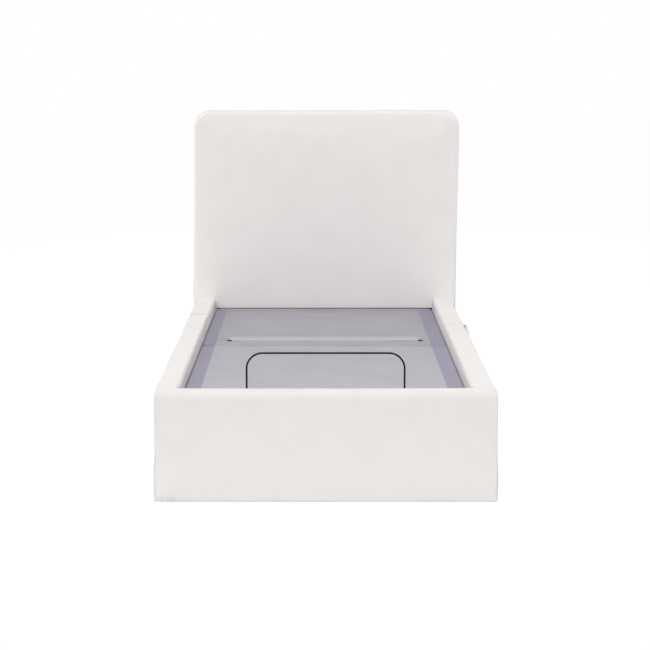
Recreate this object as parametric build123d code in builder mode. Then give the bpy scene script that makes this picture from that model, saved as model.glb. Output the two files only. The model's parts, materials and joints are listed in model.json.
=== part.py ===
from build123d import *
import math
import os

os.makedirs("parts", exist_ok=True)

# The bed lies along Y, with its headboard at +Y, and stands on Z = 0.
# Its origin is the middle of its footprint on the floor.

# Overall sizes of the bed
deck_width = 900.0
deck_length = 1990.0
deck_top = 300.0
side_gap = 7.5
foot_gap = 6.0
head_gap = 16.0
side_wall = 72.5
foot_wall = 86.0
rail_rise = 44.0
headboard_overhang = 22.5
headboard_height = 1130.0
headboard_depth = 92.0

surround_width = deck_width + 2 * (side_gap + side_wall)
surround_height = deck_top + rail_rise
headboard_width = surround_width + 2 * headboard_overhang

# Fits between pieces
soft_clearance = 0.3
running_clearance = 0.1
guide_clearance = 0.5
cut_overrun = 5.0

foot_face = -(foot_wall + foot_gap + deck_length + head_gap + headboard_depth) / 2
foot_inner = foot_face + foot_wall
deck_foot = foot_inner + foot_gap
deck_head = deck_foot + deck_length
head_face = deck_head + head_gap
head_back = head_face + headboard_depth
rail_inner = surround_width / 2 - side_wall
rail_middle = surround_width / 2 - side_wall / 2

# The padded deck, in four sections
pad_thickness = 26.0
board_thickness = 16.0
head_section_length = 745.0
fold_strip = 81.0
seat_length = 105.0
thigh_gap = 30.0
knee_reach = 425.0
knee_gap = 4.0
pad_edge_radius = 9.0
deck_corner_radius = 38.0

board_top = deck_top - pad_thickness
board_under = board_top - board_thickness
fold_head = deck_head - head_section_length
seat_head = fold_head - fold_strip
seat_foot = seat_head - seat_length
head_axis_y = (fold_head + seat_head) / 2
thigh_axis_y = seat_foot - thigh_gap / 2
thigh_head = thigh_axis_y - thigh_gap / 2
knee_y = thigh_axis_y - knee_reach
thigh_foot = knee_y + knee_gap / 2
foot_head = knee_y - knee_gap / 2

# Steel section frames under the boards, and how far the sections turn
frame_tube_width = 25.0
frame_tube_height = 20.0
frame_tube_wall = 2.0
frame_tube_inset = 100.0
frame_side_gap = 2.0
torque_radius = 12.0
head_range = 60.0
thigh_range = 30.0
pivot_z = board_under - frame_tube_height / 2
frame_tube_x = deck_width / 2 - frame_tube_inset

# Steel base frame that the sections pivot on
base_rail_width = 30.0
base_rail_height = 50.0
base_rail_wall = 2.0
base_rail_inset = 30.0
base_rail_gap = 2.0
base_end_inset = 13.0
base_rail_x = deck_width / 2 - base_rail_inset
base_top = pivot_z - frame_tube_height / 2 - base_rail_gap
base_under = base_top - base_rail_height
base_head = deck_head - base_end_inset
base_foot = deck_foot + base_end_inset
base_rail_inner = base_rail_x - base_rail_width / 2


def save(made, name):
    made.part.label = name
    export_step(made.part, f"parts/{name}.step")


def slab(x_span, y_span, z_span, mode=Mode.ADD):
    """An upright block between the planes given as low and high places on each axis."""
    with BuildSketch(Plane.XY.offset(z_span[0])) as footprint:
        with Locations((sum(x_span) / 2, sum(y_span) / 2)):
            Rectangle(x_span[1] - x_span[0], y_span[1] - y_span[0])
    extrude(footprint.sketch, amount=z_span[1] - z_span[0], mode=mode)


def around(middle, width):
    return (middle - width / 2, middle + width / 2)


def rod_x(radius, length, places, mode=Mode.ADD):
    with Locations(*places):
        Cylinder(radius, length, rotation=(0, 90, 0), mode=mode)


def rod_y(radius, length, places, mode=Mode.ADD):
    with Locations(*places):
        Cylinder(radius, length, rotation=(90, 0, 0), mode=mode)


def rod_z(radius, length, places, mode=Mode.ADD):
    with Locations(*places):
        Cylinder(radius, length, mode=mode)


# Bolted corners: a steel angle inside each corner of the surround
bracket_leg = 56.0
bracket_height = 130.0
bracket_thickness = 4.0
bracket_low = 50.0
bolt_radius = 4.0
bolt_head_radius = 8.0
bolt_head_height = 4.0
bolt_clearance = 0.3
bolt_length = 42.0
headboard_bolt_length = 70.0
bolt_from_corner = 34.0
bolt_from_end = 28.0

corner_ends = ((foot_inner, 1, bolt_length), (head_face, -1, headboard_bolt_length))
bolt_heights = (bracket_low + bolt_from_end, bracket_low + bracket_height - bolt_from_end)
rail_bolt_ys = [y + way * bolt_from_corner for y, way, length in corner_ends]
end_bolt_xs = [side * (rail_inner - bolt_from_corner) for side in (-1, 1)]


def bore_for_rail_bolts(side):
    places = [(side * rail_inner, y, z) for y in rail_bolt_ys for z in bolt_heights]
    rod_x(bolt_radius + bolt_clearance, 2 * bolt_length, places, Mode.SUBTRACT)


def bore_for_end_bolts(end):
    face_y, way, length = end
    places = [(x, face_y, z) for x in end_bolt_xs for z in bolt_heights]
    rod_y(bolt_radius + bolt_clearance, 2 * length, places, Mode.SUBTRACT)


# Side rails: a timber board inside a padded fabric cover
rail_padding = 12.0
cover_low = 4.0
core_low = 10.0
core_slot = 12.0
core_batten = 24.0
rail_edge_radius = 8.0
rail_end_radius = 8.0

for side, side_name in ((-1, "left"), (1, "right")):
    x_outer_to_inner = around(side * rail_middle, side_wall)
    x_core = around(side * rail_middle, side_wall - 2 * rail_padding)
    x_pocket = around(side * rail_middle, side_wall - 2 * (rail_padding - soft_clearance))
    y_core = (foot_inner + rail_padding, head_face - rail_padding)
    y_pocket = (y_core[0] - soft_clearance, y_core[1] + soft_clearance)

    with BuildPart() as rail_core:
        slab(x_core, y_core, (core_low, surround_height - rail_padding))
        slot_y = (y_core[0] + core_batten, y_core[1] - core_batten)
        slot_z = (core_low - cut_overrun, surround_height - rail_padding - core_batten)
        slab(around(side * rail_middle, core_slot), slot_y, slot_z, Mode.SUBTRACT)
        bore_for_rail_bolts(side)
    save(rail_core, f"{side_name}_rail_core")

    with BuildPart() as rail_cover:
        slab(x_outer_to_inner, (foot_inner, head_face), (cover_low, surround_height))
        long_edges = rail_cover.faces().sort_by(Axis.Z)[-1].edges().filter_by(Axis.Y)
        fillet(long_edges, rail_edge_radius)
        end_face = rail_cover.faces().sort_by(Axis.Y)[-1]
        fillet(end_face.edges().filter_by(Axis.Z) + end_face.edges().sort_by(Axis.Z)[-1:], rail_end_radius)
        pocket_top = surround_height - rail_padding + soft_clearance
        slab(x_pocket, y_pocket, (cover_low - cut_overrun, pocket_top), Mode.SUBTRACT)
        bore_for_rail_bolts(side)
    save(rail_cover, f"{side_name}_rail_cover")

# Foot panel: wider than the rails, closing their foot ends
panel_padding = 14.0
panel_edge_radius = 8.0
panel_top_radius = 10.0
panel_x_core = around(0, surround_width - 2 * panel_padding)
panel_y_core = (foot_face + panel_padding, foot_inner - panel_padding)

with BuildPart() as foot_panel_core:
    slab(panel_x_core, panel_y_core, (core_low, surround_height - panel_padding))
    slot_x = around(0, surround_width - 2 * (panel_padding + core_batten))
    slot_z = (core_low - cut_overrun, surround_height - panel_padding - core_batten)
    slab(slot_x, around((foot_face + foot_inner) / 2, core_slot), slot_z, Mode.SUBTRACT)
    bore_for_end_bolts(corner_ends[0])
save(foot_panel_core, "foot_panel_core")

with BuildPart() as foot_panel_cover:
    slab(around(0, surround_width), (foot_face, foot_inner), (cover_low, surround_height))
    front_face = foot_panel_cover.faces().sort_by(Axis.Y)[0]
    fillet(front_face.edges().filter_by(Axis.Z), panel_edge_radius)
    top_face = foot_panel_cover.faces().sort_by(Axis.Z)[-1]
    fillet(top_face.edges().sort_by(Axis.Y)[:-1], panel_top_radius)
    slab(
        around(0, surround_width - 2 * (panel_padding - soft_clearance)),
        (panel_y_core[0] - soft_clearance, panel_y_core[1] + soft_clearance),
        (cover_low - cut_overrun, surround_height - panel_padding + soft_clearance),
        Mode.SUBTRACT,
    )
    bore_for_end_bolts(corner_ends[0])
save(foot_panel_cover, "foot_panel_cover")

# Headboard: a timber frame with two bays behind its front board, a thick padded cover with
# rounded shoulders, and a back panel that closes the bays
headboard_corner = 58.0
headboard_front_pad = 40.0
headboard_side_pad = 16.0
headboard_edge_radius = 18.0
back_panel_thickness = 5.0
back_panel_inset = 12.0
front_board = 9.0
frame_batten = 70.0
foot_batten_top = 230.0
headboard_back_y = head_back - back_panel_thickness


def headboard_outline(inset, low):
    """The headboard seen from the front, drawn in by an inset, from a height upward."""
    half_width = headboard_width / 2 - inset
    top = headboard_height - inset
    corner = headboard_corner - inset
    with BuildSketch(Plane.XZ) as outline:
        with BuildLine():
            Polyline(
                (-half_width, top - corner),
                (-half_width, low),
                (half_width, low),
                (half_width, top - corner),
            )
            RadiusArc((half_width, top - corner), (half_width - corner, top), -corner)
            Line((half_width - corner, top), (corner - half_width, top))
            RadiusArc((corner - half_width, top), (-half_width, top - corner), -corner)
        make_face()
    return outline.sketch


def headboard_layer(outline, y_span, mode=Mode.ADD):
    placed = outline.moved(Location((0, y_span[1], 0)))
    extrude(placed, amount=y_span[1] - y_span[0], mode=mode)


core_front = head_face + headboard_front_pad
bay_reach = headboard_width / 2 - headboard_side_pad - frame_batten
bay_top = headboard_height - headboard_side_pad - frame_batten

with BuildPart() as headboard_core:
    headboard_layer(headboard_outline(headboard_side_pad, core_low), (core_front, headboard_back_y))
    for side in (-1, 1):
        bay_x = sorted((side * frame_batten / 2, side * bay_reach))
        bay_y = (core_front + front_board, headboard_back_y + cut_overrun)
        slab(bay_x, bay_y, (foot_batten_top, bay_top), Mode.SUBTRACT)
    bore_for_end_bolts(corner_ends[1])
save(headboard_core, "headboard_core")

with BuildPart() as headboard_pad:
    headboard_layer(headboard_outline(0, cover_low), (head_face, headboard_back_y))
    rim = headboard_pad.faces().sort_by(Axis.Y)[0].edges().sort_by(Axis.Z)[1:]
    fillet(rim, headboard_edge_radius)
    pocket = headboard_outline(headboard_side_pad - soft_clearance, cover_low - cut_overrun)
    pocket_depth = (core_front - soft_clearance, headboard_back_y + cut_overrun)
    headboard_layer(pocket, pocket_depth, Mode.SUBTRACT)
    bore_for_end_bolts(corner_ends[1])
save(headboard_pad, "headboard_pad")

with BuildPart() as headboard_back_panel:
    panel_outline = headboard_outline(back_panel_inset, core_low)
    headboard_layer(panel_outline, (headboard_back_y, head_back))
save(headboard_back_panel, "headboard_back_panel")

# Corner brackets and their bolts
bracket_bend_radius = 5.0
bracket_corner_radius = 8.0

with BuildPart() as corner_brackets:
    for end_y, way, length in corner_ends:
        for side in (-1, 1):
            with BuildSketch(Plane.XY.offset(bracket_low)) as angle:
                with BuildLine():
                    x_out, x_in = side * rail_inner, side * (rail_inner - bracket_thickness)
                    y_out, y_in = end_y, end_y + way * bracket_thickness
                    x_tip, y_tip = side * (rail_inner - bracket_leg), end_y + way * bracket_leg
                    Polyline(
                        (x_out, y_out), (x_tip, y_out), (x_tip, y_in), (x_in, y_in),
                        (x_in, y_tip), (x_out, y_tip), close=True,
                    )
                make_face()
                inner_bend = angle.vertices().sort_by_distance((x_in, y_in))[0]
                fillet(inner_bend, bracket_bend_radius)
            extrude(angle.sketch, amount=bracket_height)
    for side in (-1, 1):
        bore_for_rail_bolts(side)
    for end in corner_ends:
        bore_for_end_bolts(end)
save(corner_brackets, "corner_brackets")

with BuildPart() as corner_bolts:
    for z in bolt_heights:
        for side in (-1, 1):
            face_x = side * (rail_inner - bracket_thickness)
            for y in rail_bolt_ys:
                rod_x(bolt_radius, bolt_length, [(face_x + side * bolt_length / 2, y, z)])
                rod_x(bolt_head_radius, bolt_head_height, [(face_x - side * bolt_head_height / 2, y, z)])
        for end_y, way, length in corner_ends:
            face_y = end_y + way * bracket_thickness
            for x in end_bolt_xs:
                rod_y(bolt_radius, length, [(x, face_y - way * length / 2, z)])
                rod_y(bolt_head_radius, bolt_head_height, [(x, face_y + way * bolt_head_height / 2, z)])
save(corner_bolts, "corner_bolts")

# Plastic glides that the surround stands on
glide_radius = 14.0
glide_chamfer = 2.0
glide_from_end = 90.0
headboard_glide_y = (core_front + headboard_back_y) / 2

with BuildPart() as surround_glides:
    glide_places = [
        (side * rail_middle, y) for side in (-1, 1)
        for y in (foot_inner + glide_from_end, 0, head_face - glide_from_end)
    ]
    foot_panel_y = (foot_face + foot_inner) / 2
    glide_places += [
        (side * (panel_width / 2 - glide_from_end), y) for side in (-1, 1)
        for panel_width, y in ((surround_width, foot_panel_y), (headboard_width, headboard_glide_y))
    ]
    rod_z(glide_radius, core_low, [(x, y, core_low / 2) for x, y in glide_places])
    chamfer(surround_glides.edges().group_by(Axis.Z)[0], glide_chamfer)
save(surround_glides, "surround_glides")

# Levers and drives: a geared motor pushes a block along a channel against the levers
lever_reach = 110.0
lever_tip_radius = 12.0
lever_root_radius = 17.0
lever_thickness = 8.0
lever_offset = 14.0
drive_x = 130.0
cheek_thickness = 12.0
channel_half = 24.0
channel_floor = 10.0
floor_clearance = 8.0
cheek_end_reach = 16.0
gearbox_length = 190.0
gearbox_half = 46.0
gearbox_edge_radius = 12.0
gearbox_top_drop = 64.0
gearbox_back_wall = 12.0
block_length = 50.0
block_clearance = 2.4
contact_clearance = 1.2
block_chamfer = 3.0
push_rod_radius = 11.0
push_rod_spare = 30.0
motor_radius = 31.0
motor_length = 104.0
motor_flange = 8.0
motor_flange_spread = 6.0
motor_cap_step = 4.0
motor_cap_length = 16.0
motor_from_back = 62.0
motor_edge = 5.0
hanger_from_back = 44.0

drive_settings = {
    "head": (head_axis_y, 1, -drive_x, head_range),
    "thigh": (thigh_axis_y, -1, drive_x, thigh_range),
}
widest_lean = math.radians(max(head_range, thigh_range) / 2)
block_top = lever_reach * math.cos(widest_lean) + lever_tip_radius * math.sin(widest_lean) + block_clearance
channel_bottom = lever_reach + lever_tip_radius + floor_clearance
block_height = channel_bottom - soft_clearance - block_top
housing_bottom = channel_bottom + channel_floor
motor_drop = (gearbox_top_drop + housing_bottom) / 2


def side_view(outward, middle_x, axis_y):
    """A plane across the bed at a pivot: its x runs the way the drive pushes, its y up."""
    return Plane(
        origin=(middle_x, axis_y, pivot_z), x_dir=(0, outward, 0), z_dir=(outward, 0, 0)
    )


def lever_tip(swing):
    """Where the lever's tip lies at rest, leaning back by half of its swing."""
    lean = math.radians(swing / 2)
    return (-lever_reach * math.sin(lean), -lever_reach * math.cos(lean))


def arc_departure(swing):
    """The most by which the lever's arc departs from a block that moves at a steady rate."""
    half_swing = math.radians(swing / 2)
    steady = math.sin(half_swing) / half_swing
    turning_point = math.acos(steady)
    return lever_reach * (math.sin(turning_point) - steady * turning_point)


def block_front(swing):
    return lever_tip(swing)[0] - lever_tip_radius - arc_departure(swing) - contact_clearance


def gearbox_front(swing):
    return block_front(swing) - block_length - guide_clearance


def gearbox_back(swing):
    return gearbox_front(swing) - gearbox_length


def hanger_y(section):
    axis_y, outward, middle_x, swing = drive_settings[section]
    return axis_y + outward * (gearbox_back(swing) + hanger_from_back)


# Base frame: two long rails, end and middle crossbars, legs with glides
crossbar_width = 30.0
leg_radius = 19.0
leg_wall = 1.5
leg_plate_width = 44.0
leg_plate_thickness = 3.0
leg_from_end = 120.0
middle_leg_y = 120.0
leg_glide_height = 12.0
leg_glide_radius = 21.0
leg_glide_chamfer = 2.5
plug_depth = 14.0


def tube_along_y(x_middle, y_span, z_span, width, wall):
    length = y_span[1] - y_span[0]
    bore_z = (z_span[0] + wall, z_span[1] - wall)
    slab(around(x_middle, width), y_span, z_span)
    bore_y = around(sum(y_span) / 2, length + 2 * cut_overrun)
    slab(around(x_middle, width - 2 * wall), bore_y, bore_z, Mode.SUBTRACT)


def tube_along_x(y_middle, x_span, z_span, width, wall):
    length = x_span[1] - x_span[0]
    bore_z = (z_span[0] + wall, z_span[1] - wall)
    slab(x_span, around(y_middle, width), z_span)
    bore_x = around(sum(x_span) / 2, length + 2 * cut_overrun)
    slab(bore_x, around(y_middle, width - 2 * wall), bore_z, Mode.SUBTRACT)


base_heights = (base_under, base_top)
for side, side_name in ((-1, "left"), (1, "right")):
    with BuildPart() as base_rail:
        rail_y = (base_foot, base_head)
        tube_along_y(side * base_rail_x, rail_y, base_heights, base_rail_width, base_rail_wall)
    save(base_rail, f"base_{side_name}_rail")

crossbar_groups = {
    "base_end_crossbars": (base_head - crossbar_width / 2, base_foot + crossbar_width / 2),
    "base_middle_crossbars": (hanger_y("thigh"), hanger_y("head")),
}
for crossbars_name, crossbar_ys in crossbar_groups.items():
    with BuildPart() as crossbars:
        for crossbar_y in crossbar_ys:
            crossbar_x = (-base_rail_inner, base_rail_inner)
            tube_along_x(crossbar_y, crossbar_x, base_heights, crossbar_width, base_rail_wall)
    save(crossbars, crossbars_name)

# Folded steel brackets that hold the head crossbar to the face of the headboard
headboard_bracket_x = 250.0
headboard_bracket_width = 60.0
headboard_bracket_thickness = 4.0

with BuildPart() as headboard_brackets:
    bracket_xs = [around(side * headboard_bracket_x, headboard_bracket_width) for side in (-1, 1)]
    for bracket_x in bracket_xs:
        slab(bracket_x, (base_head, head_face), base_heights)
    crowns = headboard_brackets.faces().group_by(Axis.Z)[-1]
    fillet(crowns.edges().filter_by(Axis.X), headboard_bracket_thickness)
    for bracket_x in bracket_xs:
        fold_y = (base_head + headboard_bracket_thickness, head_face - headboard_bracket_thickness)
        fold_z = (base_under - cut_overrun, base_top - headboard_bracket_thickness)
        slab(bracket_x, fold_y, fold_z, Mode.SUBTRACT)
save(headboard_brackets, "headboard_brackets")

leg_places = [
    (side * base_rail_x, y) for side in (-1, 1)
    for y in (base_foot + leg_from_end, middle_leg_y, base_head - leg_from_end)
]
with BuildPart() as base_legs:
    for x, y in leg_places:
        plate_z = (base_under - leg_plate_thickness, base_under)
        slab(around(x, leg_plate_width), around(y, leg_plate_width), plate_z)
        leg_height = plate_z[0] - leg_glide_height
        leg_middle = (x, y, leg_glide_height + leg_height / 2)
        rod_z(leg_radius, leg_height, [leg_middle])
        rod_z(leg_radius - leg_wall, leg_height, [leg_middle], Mode.SUBTRACT)
save(base_legs, "base_legs")

with BuildPart() as leg_glides:
    rod_z(leg_glide_radius, leg_glide_height, [(x, y, leg_glide_height / 2) for x, y in leg_places])
    chamfer(leg_glides.edges().group_by(Axis.Z)[0], leg_glide_chamfer)
    plug_radius = leg_radius - leg_wall - running_clearance
    plug_middle = leg_glide_height + plug_depth / 2
    rod_z(plug_radius, plug_depth, [(x, y, plug_middle) for x, y in leg_places])
save(leg_glides, "leg_glides")

# Pivot brackets welded to the base rails, with plastic bushes
pivot_pin_radius = 6.0
pin_past_bracket = 3.0
bush_wall = 2.0
bush_collar_radius = 11.0
bush_collar = 1.5
bracket_plate = 8.0
bracket_crown = 14.0
bracket_foot_length = 70.0
bracket_foot_drop = 32.0
bush_radius = pivot_pin_radius + running_clearance + bush_wall
bracket_inner = base_rail_inner - bracket_plate
torque_end_x = bracket_inner - bush_collar - guide_clearance

with BuildPart() as pivot_brackets:
    for axis_y in (head_axis_y, thigh_axis_y):
        for side in (-1, 1):
            with BuildSketch(side_view(side, side * base_rail_inner, axis_y)) as plate:
                foot_top = base_top - pivot_z
                with BuildLine():
                    Polyline(
                        (-bracket_crown, 0),
                        (bracket_crown, 0),
                        (bracket_foot_length / 2, foot_top),
                        (bracket_foot_length / 2, foot_top - bracket_foot_drop),
                        (-bracket_foot_length / 2, foot_top - bracket_foot_drop),
                        (-bracket_foot_length / 2, foot_top),
                        close=True,
                    )
                make_face()
                Circle(bracket_crown)
                Circle(bush_radius, mode=Mode.SUBTRACT)
            extrude(plate.sketch, amount=-bracket_plate)
save(pivot_brackets, "pivot_brackets")

with BuildPart() as pivot_bushes:
    for axis_y in (head_axis_y, thigh_axis_y):
        for side in (-1, 1):
            inner_x = side * bracket_inner
            rod_x(bush_radius, bracket_plate, [(inner_x + side * bracket_plate / 2, axis_y, pivot_z)])
            rod_x(bush_collar_radius, bush_collar, [(inner_x - side * bush_collar / 2, axis_y, pivot_z)])
            bore_radius = pivot_pin_radius + running_clearance
            rod_x(bore_radius, 4 * bracket_plate, [(inner_x, axis_y, pivot_z)], Mode.SUBTRACT)
save(pivot_bushes, "pivot_bushes")

# Torque tubes with their levers: each turns with its section, on the section's own axis
for section, (axis_y, outward, middle_x, swing) in drive_settings.items():
    with BuildPart() as torque_tube:
        rod_x(torque_radius, 2 * torque_end_x, [(0, axis_y, pivot_z)])
        rod_x(pivot_pin_radius, 2 * (base_rail_inner + pin_past_bracket), [(0, axis_y, pivot_z)])
    save(torque_tube, f"{section}_torque_tube")

    with BuildPart() as levers:
        for lever_x in (middle_x - lever_offset, middle_x + lever_offset):
            with BuildSketch(side_view(outward, lever_x, axis_y)) as lever:
                with Locations(lever_tip(swing)):
                    Circle(lever_tip_radius)
                Circle(lever_root_radius)
                make_hull()
                Circle(torque_radius, mode=Mode.SUBTRACT)
            extrude(lever.sketch, amount=lever_thickness / 2, both=True)
    save(levers, f"{section}_levers")

# The two drives, back to back, each pushing outward
for section, (axis_y, outward, middle_x, swing) in drive_settings.items():
    stroke = -2 * lever_tip(swing)[0]
    cheek_end = stroke / 2 + lever_tip_radius + cheek_end_reach
    front, back = gearbox_front(swing), gearbox_back(swing)
    rod_drop = channel_bottom - soft_clearance - block_height / 2

    with BuildPart() as housing:
        with BuildSketch(side_view(outward, middle_x, axis_y)) as gearbox:
            with Locations(((front + back) / 2, -motor_drop)):
                Rectangle(front - back, housing_bottom - gearbox_top_drop)
        extrude(gearbox.sketch, amount=gearbox_half, both=True)
        fillet(housing.edges().filter_by(Axis.Y), gearbox_edge_radius)
        with BuildSketch(side_view(outward, middle_x, axis_y)) as cheeks:
            with BuildLine():
                Polyline(
                    (front, -gearbox_top_drop),
                    (-2 * lever_root_radius, -gearbox_top_drop),
                    (-lever_root_radius, 0),
                    (lever_root_radius, 0),
                    (2 * lever_root_radius, -gearbox_top_drop),
                    (cheek_end, -gearbox_top_drop),
                    (cheek_end, -housing_bottom),
                    (front, -housing_bottom),
                    close=True,
                )
            make_face()
            Circle(lever_root_radius)
            Circle(torque_radius + soft_clearance, mode=Mode.SUBTRACT)
        extrude(cheeks.sketch, amount=channel_half + cheek_thickness, both=True)
        channel_top = lever_root_radius + cut_overrun
        with BuildSketch(side_view(outward, middle_x, axis_y)) as channel:
            with BuildLine():
                Polyline(
                    (front, channel_top),
                    (front, -channel_bottom),
                    (cheek_end + cut_overrun, -channel_bottom),
                    (cheek_end + cut_overrun, channel_top),
                    close=True,
                )
            make_face()
        extrude(channel.sketch, amount=channel_half, both=True, mode=Mode.SUBTRACT)
        bore_depth = gearbox_length - gearbox_back_wall
        bore_middle = (middle_x, axis_y + outward * (front - bore_depth / 2), pivot_z - rod_drop)
        rod_y(push_rod_radius + running_clearance, bore_depth, [bore_middle], Mode.SUBTRACT)
    save(housing, f"{section}_drive_housing")

    with BuildPart() as push_block:
        block_x = around(middle_x, 2 * (channel_half - guide_clearance))
        block_back = block_front(swing) - block_length
        block_y = sorted(axis_y + outward * reach for reach in (block_back, block_front(swing)))
        block_low = pivot_z - channel_bottom + soft_clearance
        slab(block_x, block_y, (block_low, block_low + block_height))
        chamfer(push_block.edges().filter_by(Axis.X), block_chamfer)
        rod_length = stroke + push_rod_spare
        rod_middle = (middle_x, axis_y + outward * (block_back - rod_length / 2), pivot_z - rod_drop)
        rod_y(push_rod_radius, rod_length, [rod_middle])
    save(push_block, f"{section}_push_block")

    motor_side = math.copysign(1, middle_x)
    motor_y = axis_y + outward * (back + motor_from_back)
    motor_z = pivot_z - motor_drop
    flange_end = gearbox_half + motor_flange
    body_end = flange_end + motor_length
    with BuildPart() as motor:
        for radius, from_x, to_x in (
            (motor_radius + motor_flange_spread, gearbox_half, flange_end),
            (motor_radius, flange_end, body_end),
            (motor_radius - motor_cap_step, body_end, body_end + motor_cap_length),
        ):
            rod_x(radius, to_x - from_x, [(middle_x + motor_side * (from_x + to_x) / 2, motor_y, motor_z)])
        rims = motor.edges().filter_by(GeomType.CIRCLE).sort_by(Axis.X)
        chamfer(rims[-1] if motor_side > 0 else rims[0], motor_edge)
    save(motor, f"{section}_drive_motor")

    print(section, "stroke", round(stroke, 3), "block stands off", round(arc_departure(swing), 3),
          "metres per radian", round(stroke / math.radians(swing) / 1000, 6))

# Hangers: steel straps over the crossbars that carry the drives
hanger_thickness = 3.0
hanger_width = 40.0
hanger_flange = 24.0

with BuildPart() as drive_hangers:
    for section, (axis_y, outward, middle_x, swing) in drive_settings.items():
        with BuildSketch(side_view(1, middle_x, hanger_y(section))) as strap:
            inner = crossbar_width / 2
            outer = inner + hanger_thickness
            crown_under = base_top - pivot_z
            foot_under = -gearbox_top_drop
            with BuildLine():
                Polyline(
                    (-inner, foot_under),
                    (-inner, crown_under),
                    (inner, crown_under),
                    (inner, foot_under),
                    (outer + hanger_flange, foot_under),
                    (outer + hanger_flange, foot_under + hanger_thickness),
                    (outer, foot_under + hanger_thickness),
                    (outer, crown_under + hanger_thickness),
                    (-outer, crown_under + hanger_thickness),
                    (-outer, foot_under + hanger_thickness),
                    (-outer - hanger_flange, foot_under + hanger_thickness),
                    (-outer - hanger_flange, foot_under),
                    close=True,
                )
            make_face()
        extrude(strap.sketch, amount=hanger_width / 2, both=True)
save(drive_hangers, "drive_hangers")

# Control box under the upper crossbar, with its mains inlet
control_box_width = 146.0
control_box_length = 150.0
control_box_height = 44.0
control_box_x = -6.0
control_box_radius = 8.0
inlet_width = 27.0
inlet_height = 19.0
inlet_depth = 14.0
inlet_rim = 2.0
inlet_radius = 5.0
inlet_pin_radius = 2.0
inlet_pin_spacing = 10.0
control_low = base_under - control_box_height
control_foot = hanger_y("thigh") - crossbar_width / 2
control_y = (control_foot, control_foot + control_box_length)


def inlet_layer(inset, y_span, mode=Mode.ADD):
    with BuildSketch(Plane.XZ.offset(-y_span[1])) as face:
        with Locations((control_box_x, control_low + control_box_height / 2)):
            RectangleRounded(inlet_width - 2 * inset, inlet_height - 2 * inset, inlet_radius - inset)
    extrude(face.sketch, amount=y_span[1] - y_span[0], mode=mode)


with BuildPart() as control_box:
    slab(around(control_box_x, control_box_width), control_y, (control_low, base_under))
    fillet(control_box.edges().filter_by(Axis.Z), control_box_radius)
    fillet(control_box.faces().sort_by(Axis.Z)[0].edges(), control_box_radius / 2)
    inlet_layer(0, (control_y[1] - inlet_depth, control_y[1] + cut_overrun), Mode.SUBTRACT)
save(control_box, "control_box")

with BuildPart() as mains_inlet:
    inlet_layer(0, (control_y[1] - inlet_depth, control_y[1]))
    inlet_floor = control_y[1] - inlet_depth + inlet_rim
    inlet_layer(inlet_rim, (inlet_floor, control_y[1] + cut_overrun), Mode.SUBTRACT)
    pin_length = inlet_depth - 2 * inlet_rim
    pin_y = inlet_floor + pin_length / 2
    pin_z = control_low + control_box_height / 2
    pins = [(control_box_x + way * inlet_pin_spacing / 2, pin_y, pin_z) for way in (-1, 1)]
    rod_y(inlet_pin_radius, pin_length, pins)
save(mains_inlet, "mains_inlet")

# Section frames: rectangular steel tubes, coped to the torque tubes and pinned at the knee
frame_heights = around(pivot_z, frame_tube_height)
foot_tube_x = frame_tube_x + frame_tube_width + frame_side_gap
knee_eye_radius = frame_tube_height / 2 - guide_clearance
knee_pin_radius = 6.0
knee_pin_head = 3.0
knee_pin_head_radius = 9.0
tube_from_end = 24.0
head_crossing = 250.0
thigh_crossing = 300.0
foot_crossing = 60.0
roller_from_end = 34.0
frame_inner = frame_tube_x - frame_tube_width / 2
foot_frame_inner = foot_tube_x - frame_tube_width / 2


def frame_crossing(y_middle, inner_x):
    tube_along_x(y_middle, (-inner_x, inner_x), frame_heights, frame_tube_width, frame_tube_wall)


with BuildPart() as head_frame:
    head_tube_y = (head_axis_y, deck_head - tube_from_end)
    for side in (-1, 1):
        tube_along_y(side * frame_tube_x, head_tube_y, frame_heights, frame_tube_width, frame_tube_wall)
    for y in (head_axis_y + head_crossing, head_tube_y[1] - frame_tube_width / 2):
        frame_crossing(y, frame_inner)
    rod_x(torque_radius, deck_width, [(0, head_axis_y, pivot_z)], Mode.SUBTRACT)
save(head_frame, "head_frame")

with BuildPart() as thigh_frame:
    for side in (-1, 1):
        thigh_tube_y = (knee_y, thigh_axis_y)
        tube_along_y(side * frame_tube_x, thigh_tube_y, frame_heights, frame_tube_width, frame_tube_wall)
    rod_x(knee_eye_radius, frame_tube_width, [(side * frame_tube_x, knee_y, pivot_z) for side in (-1, 1)])
    frame_crossing(thigh_axis_y - thigh_crossing, frame_inner)
    rod_x(torque_radius, deck_width, [(0, thigh_axis_y, pivot_z)], Mode.SUBTRACT)
    rod_x(knee_pin_radius, deck_width, [(0, knee_y, pivot_z)], Mode.SUBTRACT)
save(thigh_frame, "thigh_frame")

with BuildPart() as knee_pins:
    pin_inner = frame_inner - knee_pin_head
    pin_outer = foot_tube_x + frame_tube_width / 2 + knee_pin_head
    for side in (-1, 1):
        pin_middle = side * (pin_inner + pin_outer) / 2
        rod_x(knee_pin_radius, pin_outer - pin_inner, [(pin_middle, knee_y, pivot_z)])
        head_middle = side * (pin_inner + knee_pin_head / 2)
        rod_x(knee_pin_head_radius, knee_pin_head, [(head_middle, knee_y, pivot_z)])
save(knee_pins, "knee_pins")

# Rollers that carry the foot section along the base rails
roller_radius = 10.0
roller_width = 18.0
roller_edge = 1.5
axle_radius = 4.0
axle_collar_radius = 7.0
roller_y = deck_foot + roller_from_end
roller_z = base_top + soft_clearance + roller_radius
roller_inner = base_rail_x - roller_width / 2 + base_rail_gap / 2

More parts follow.
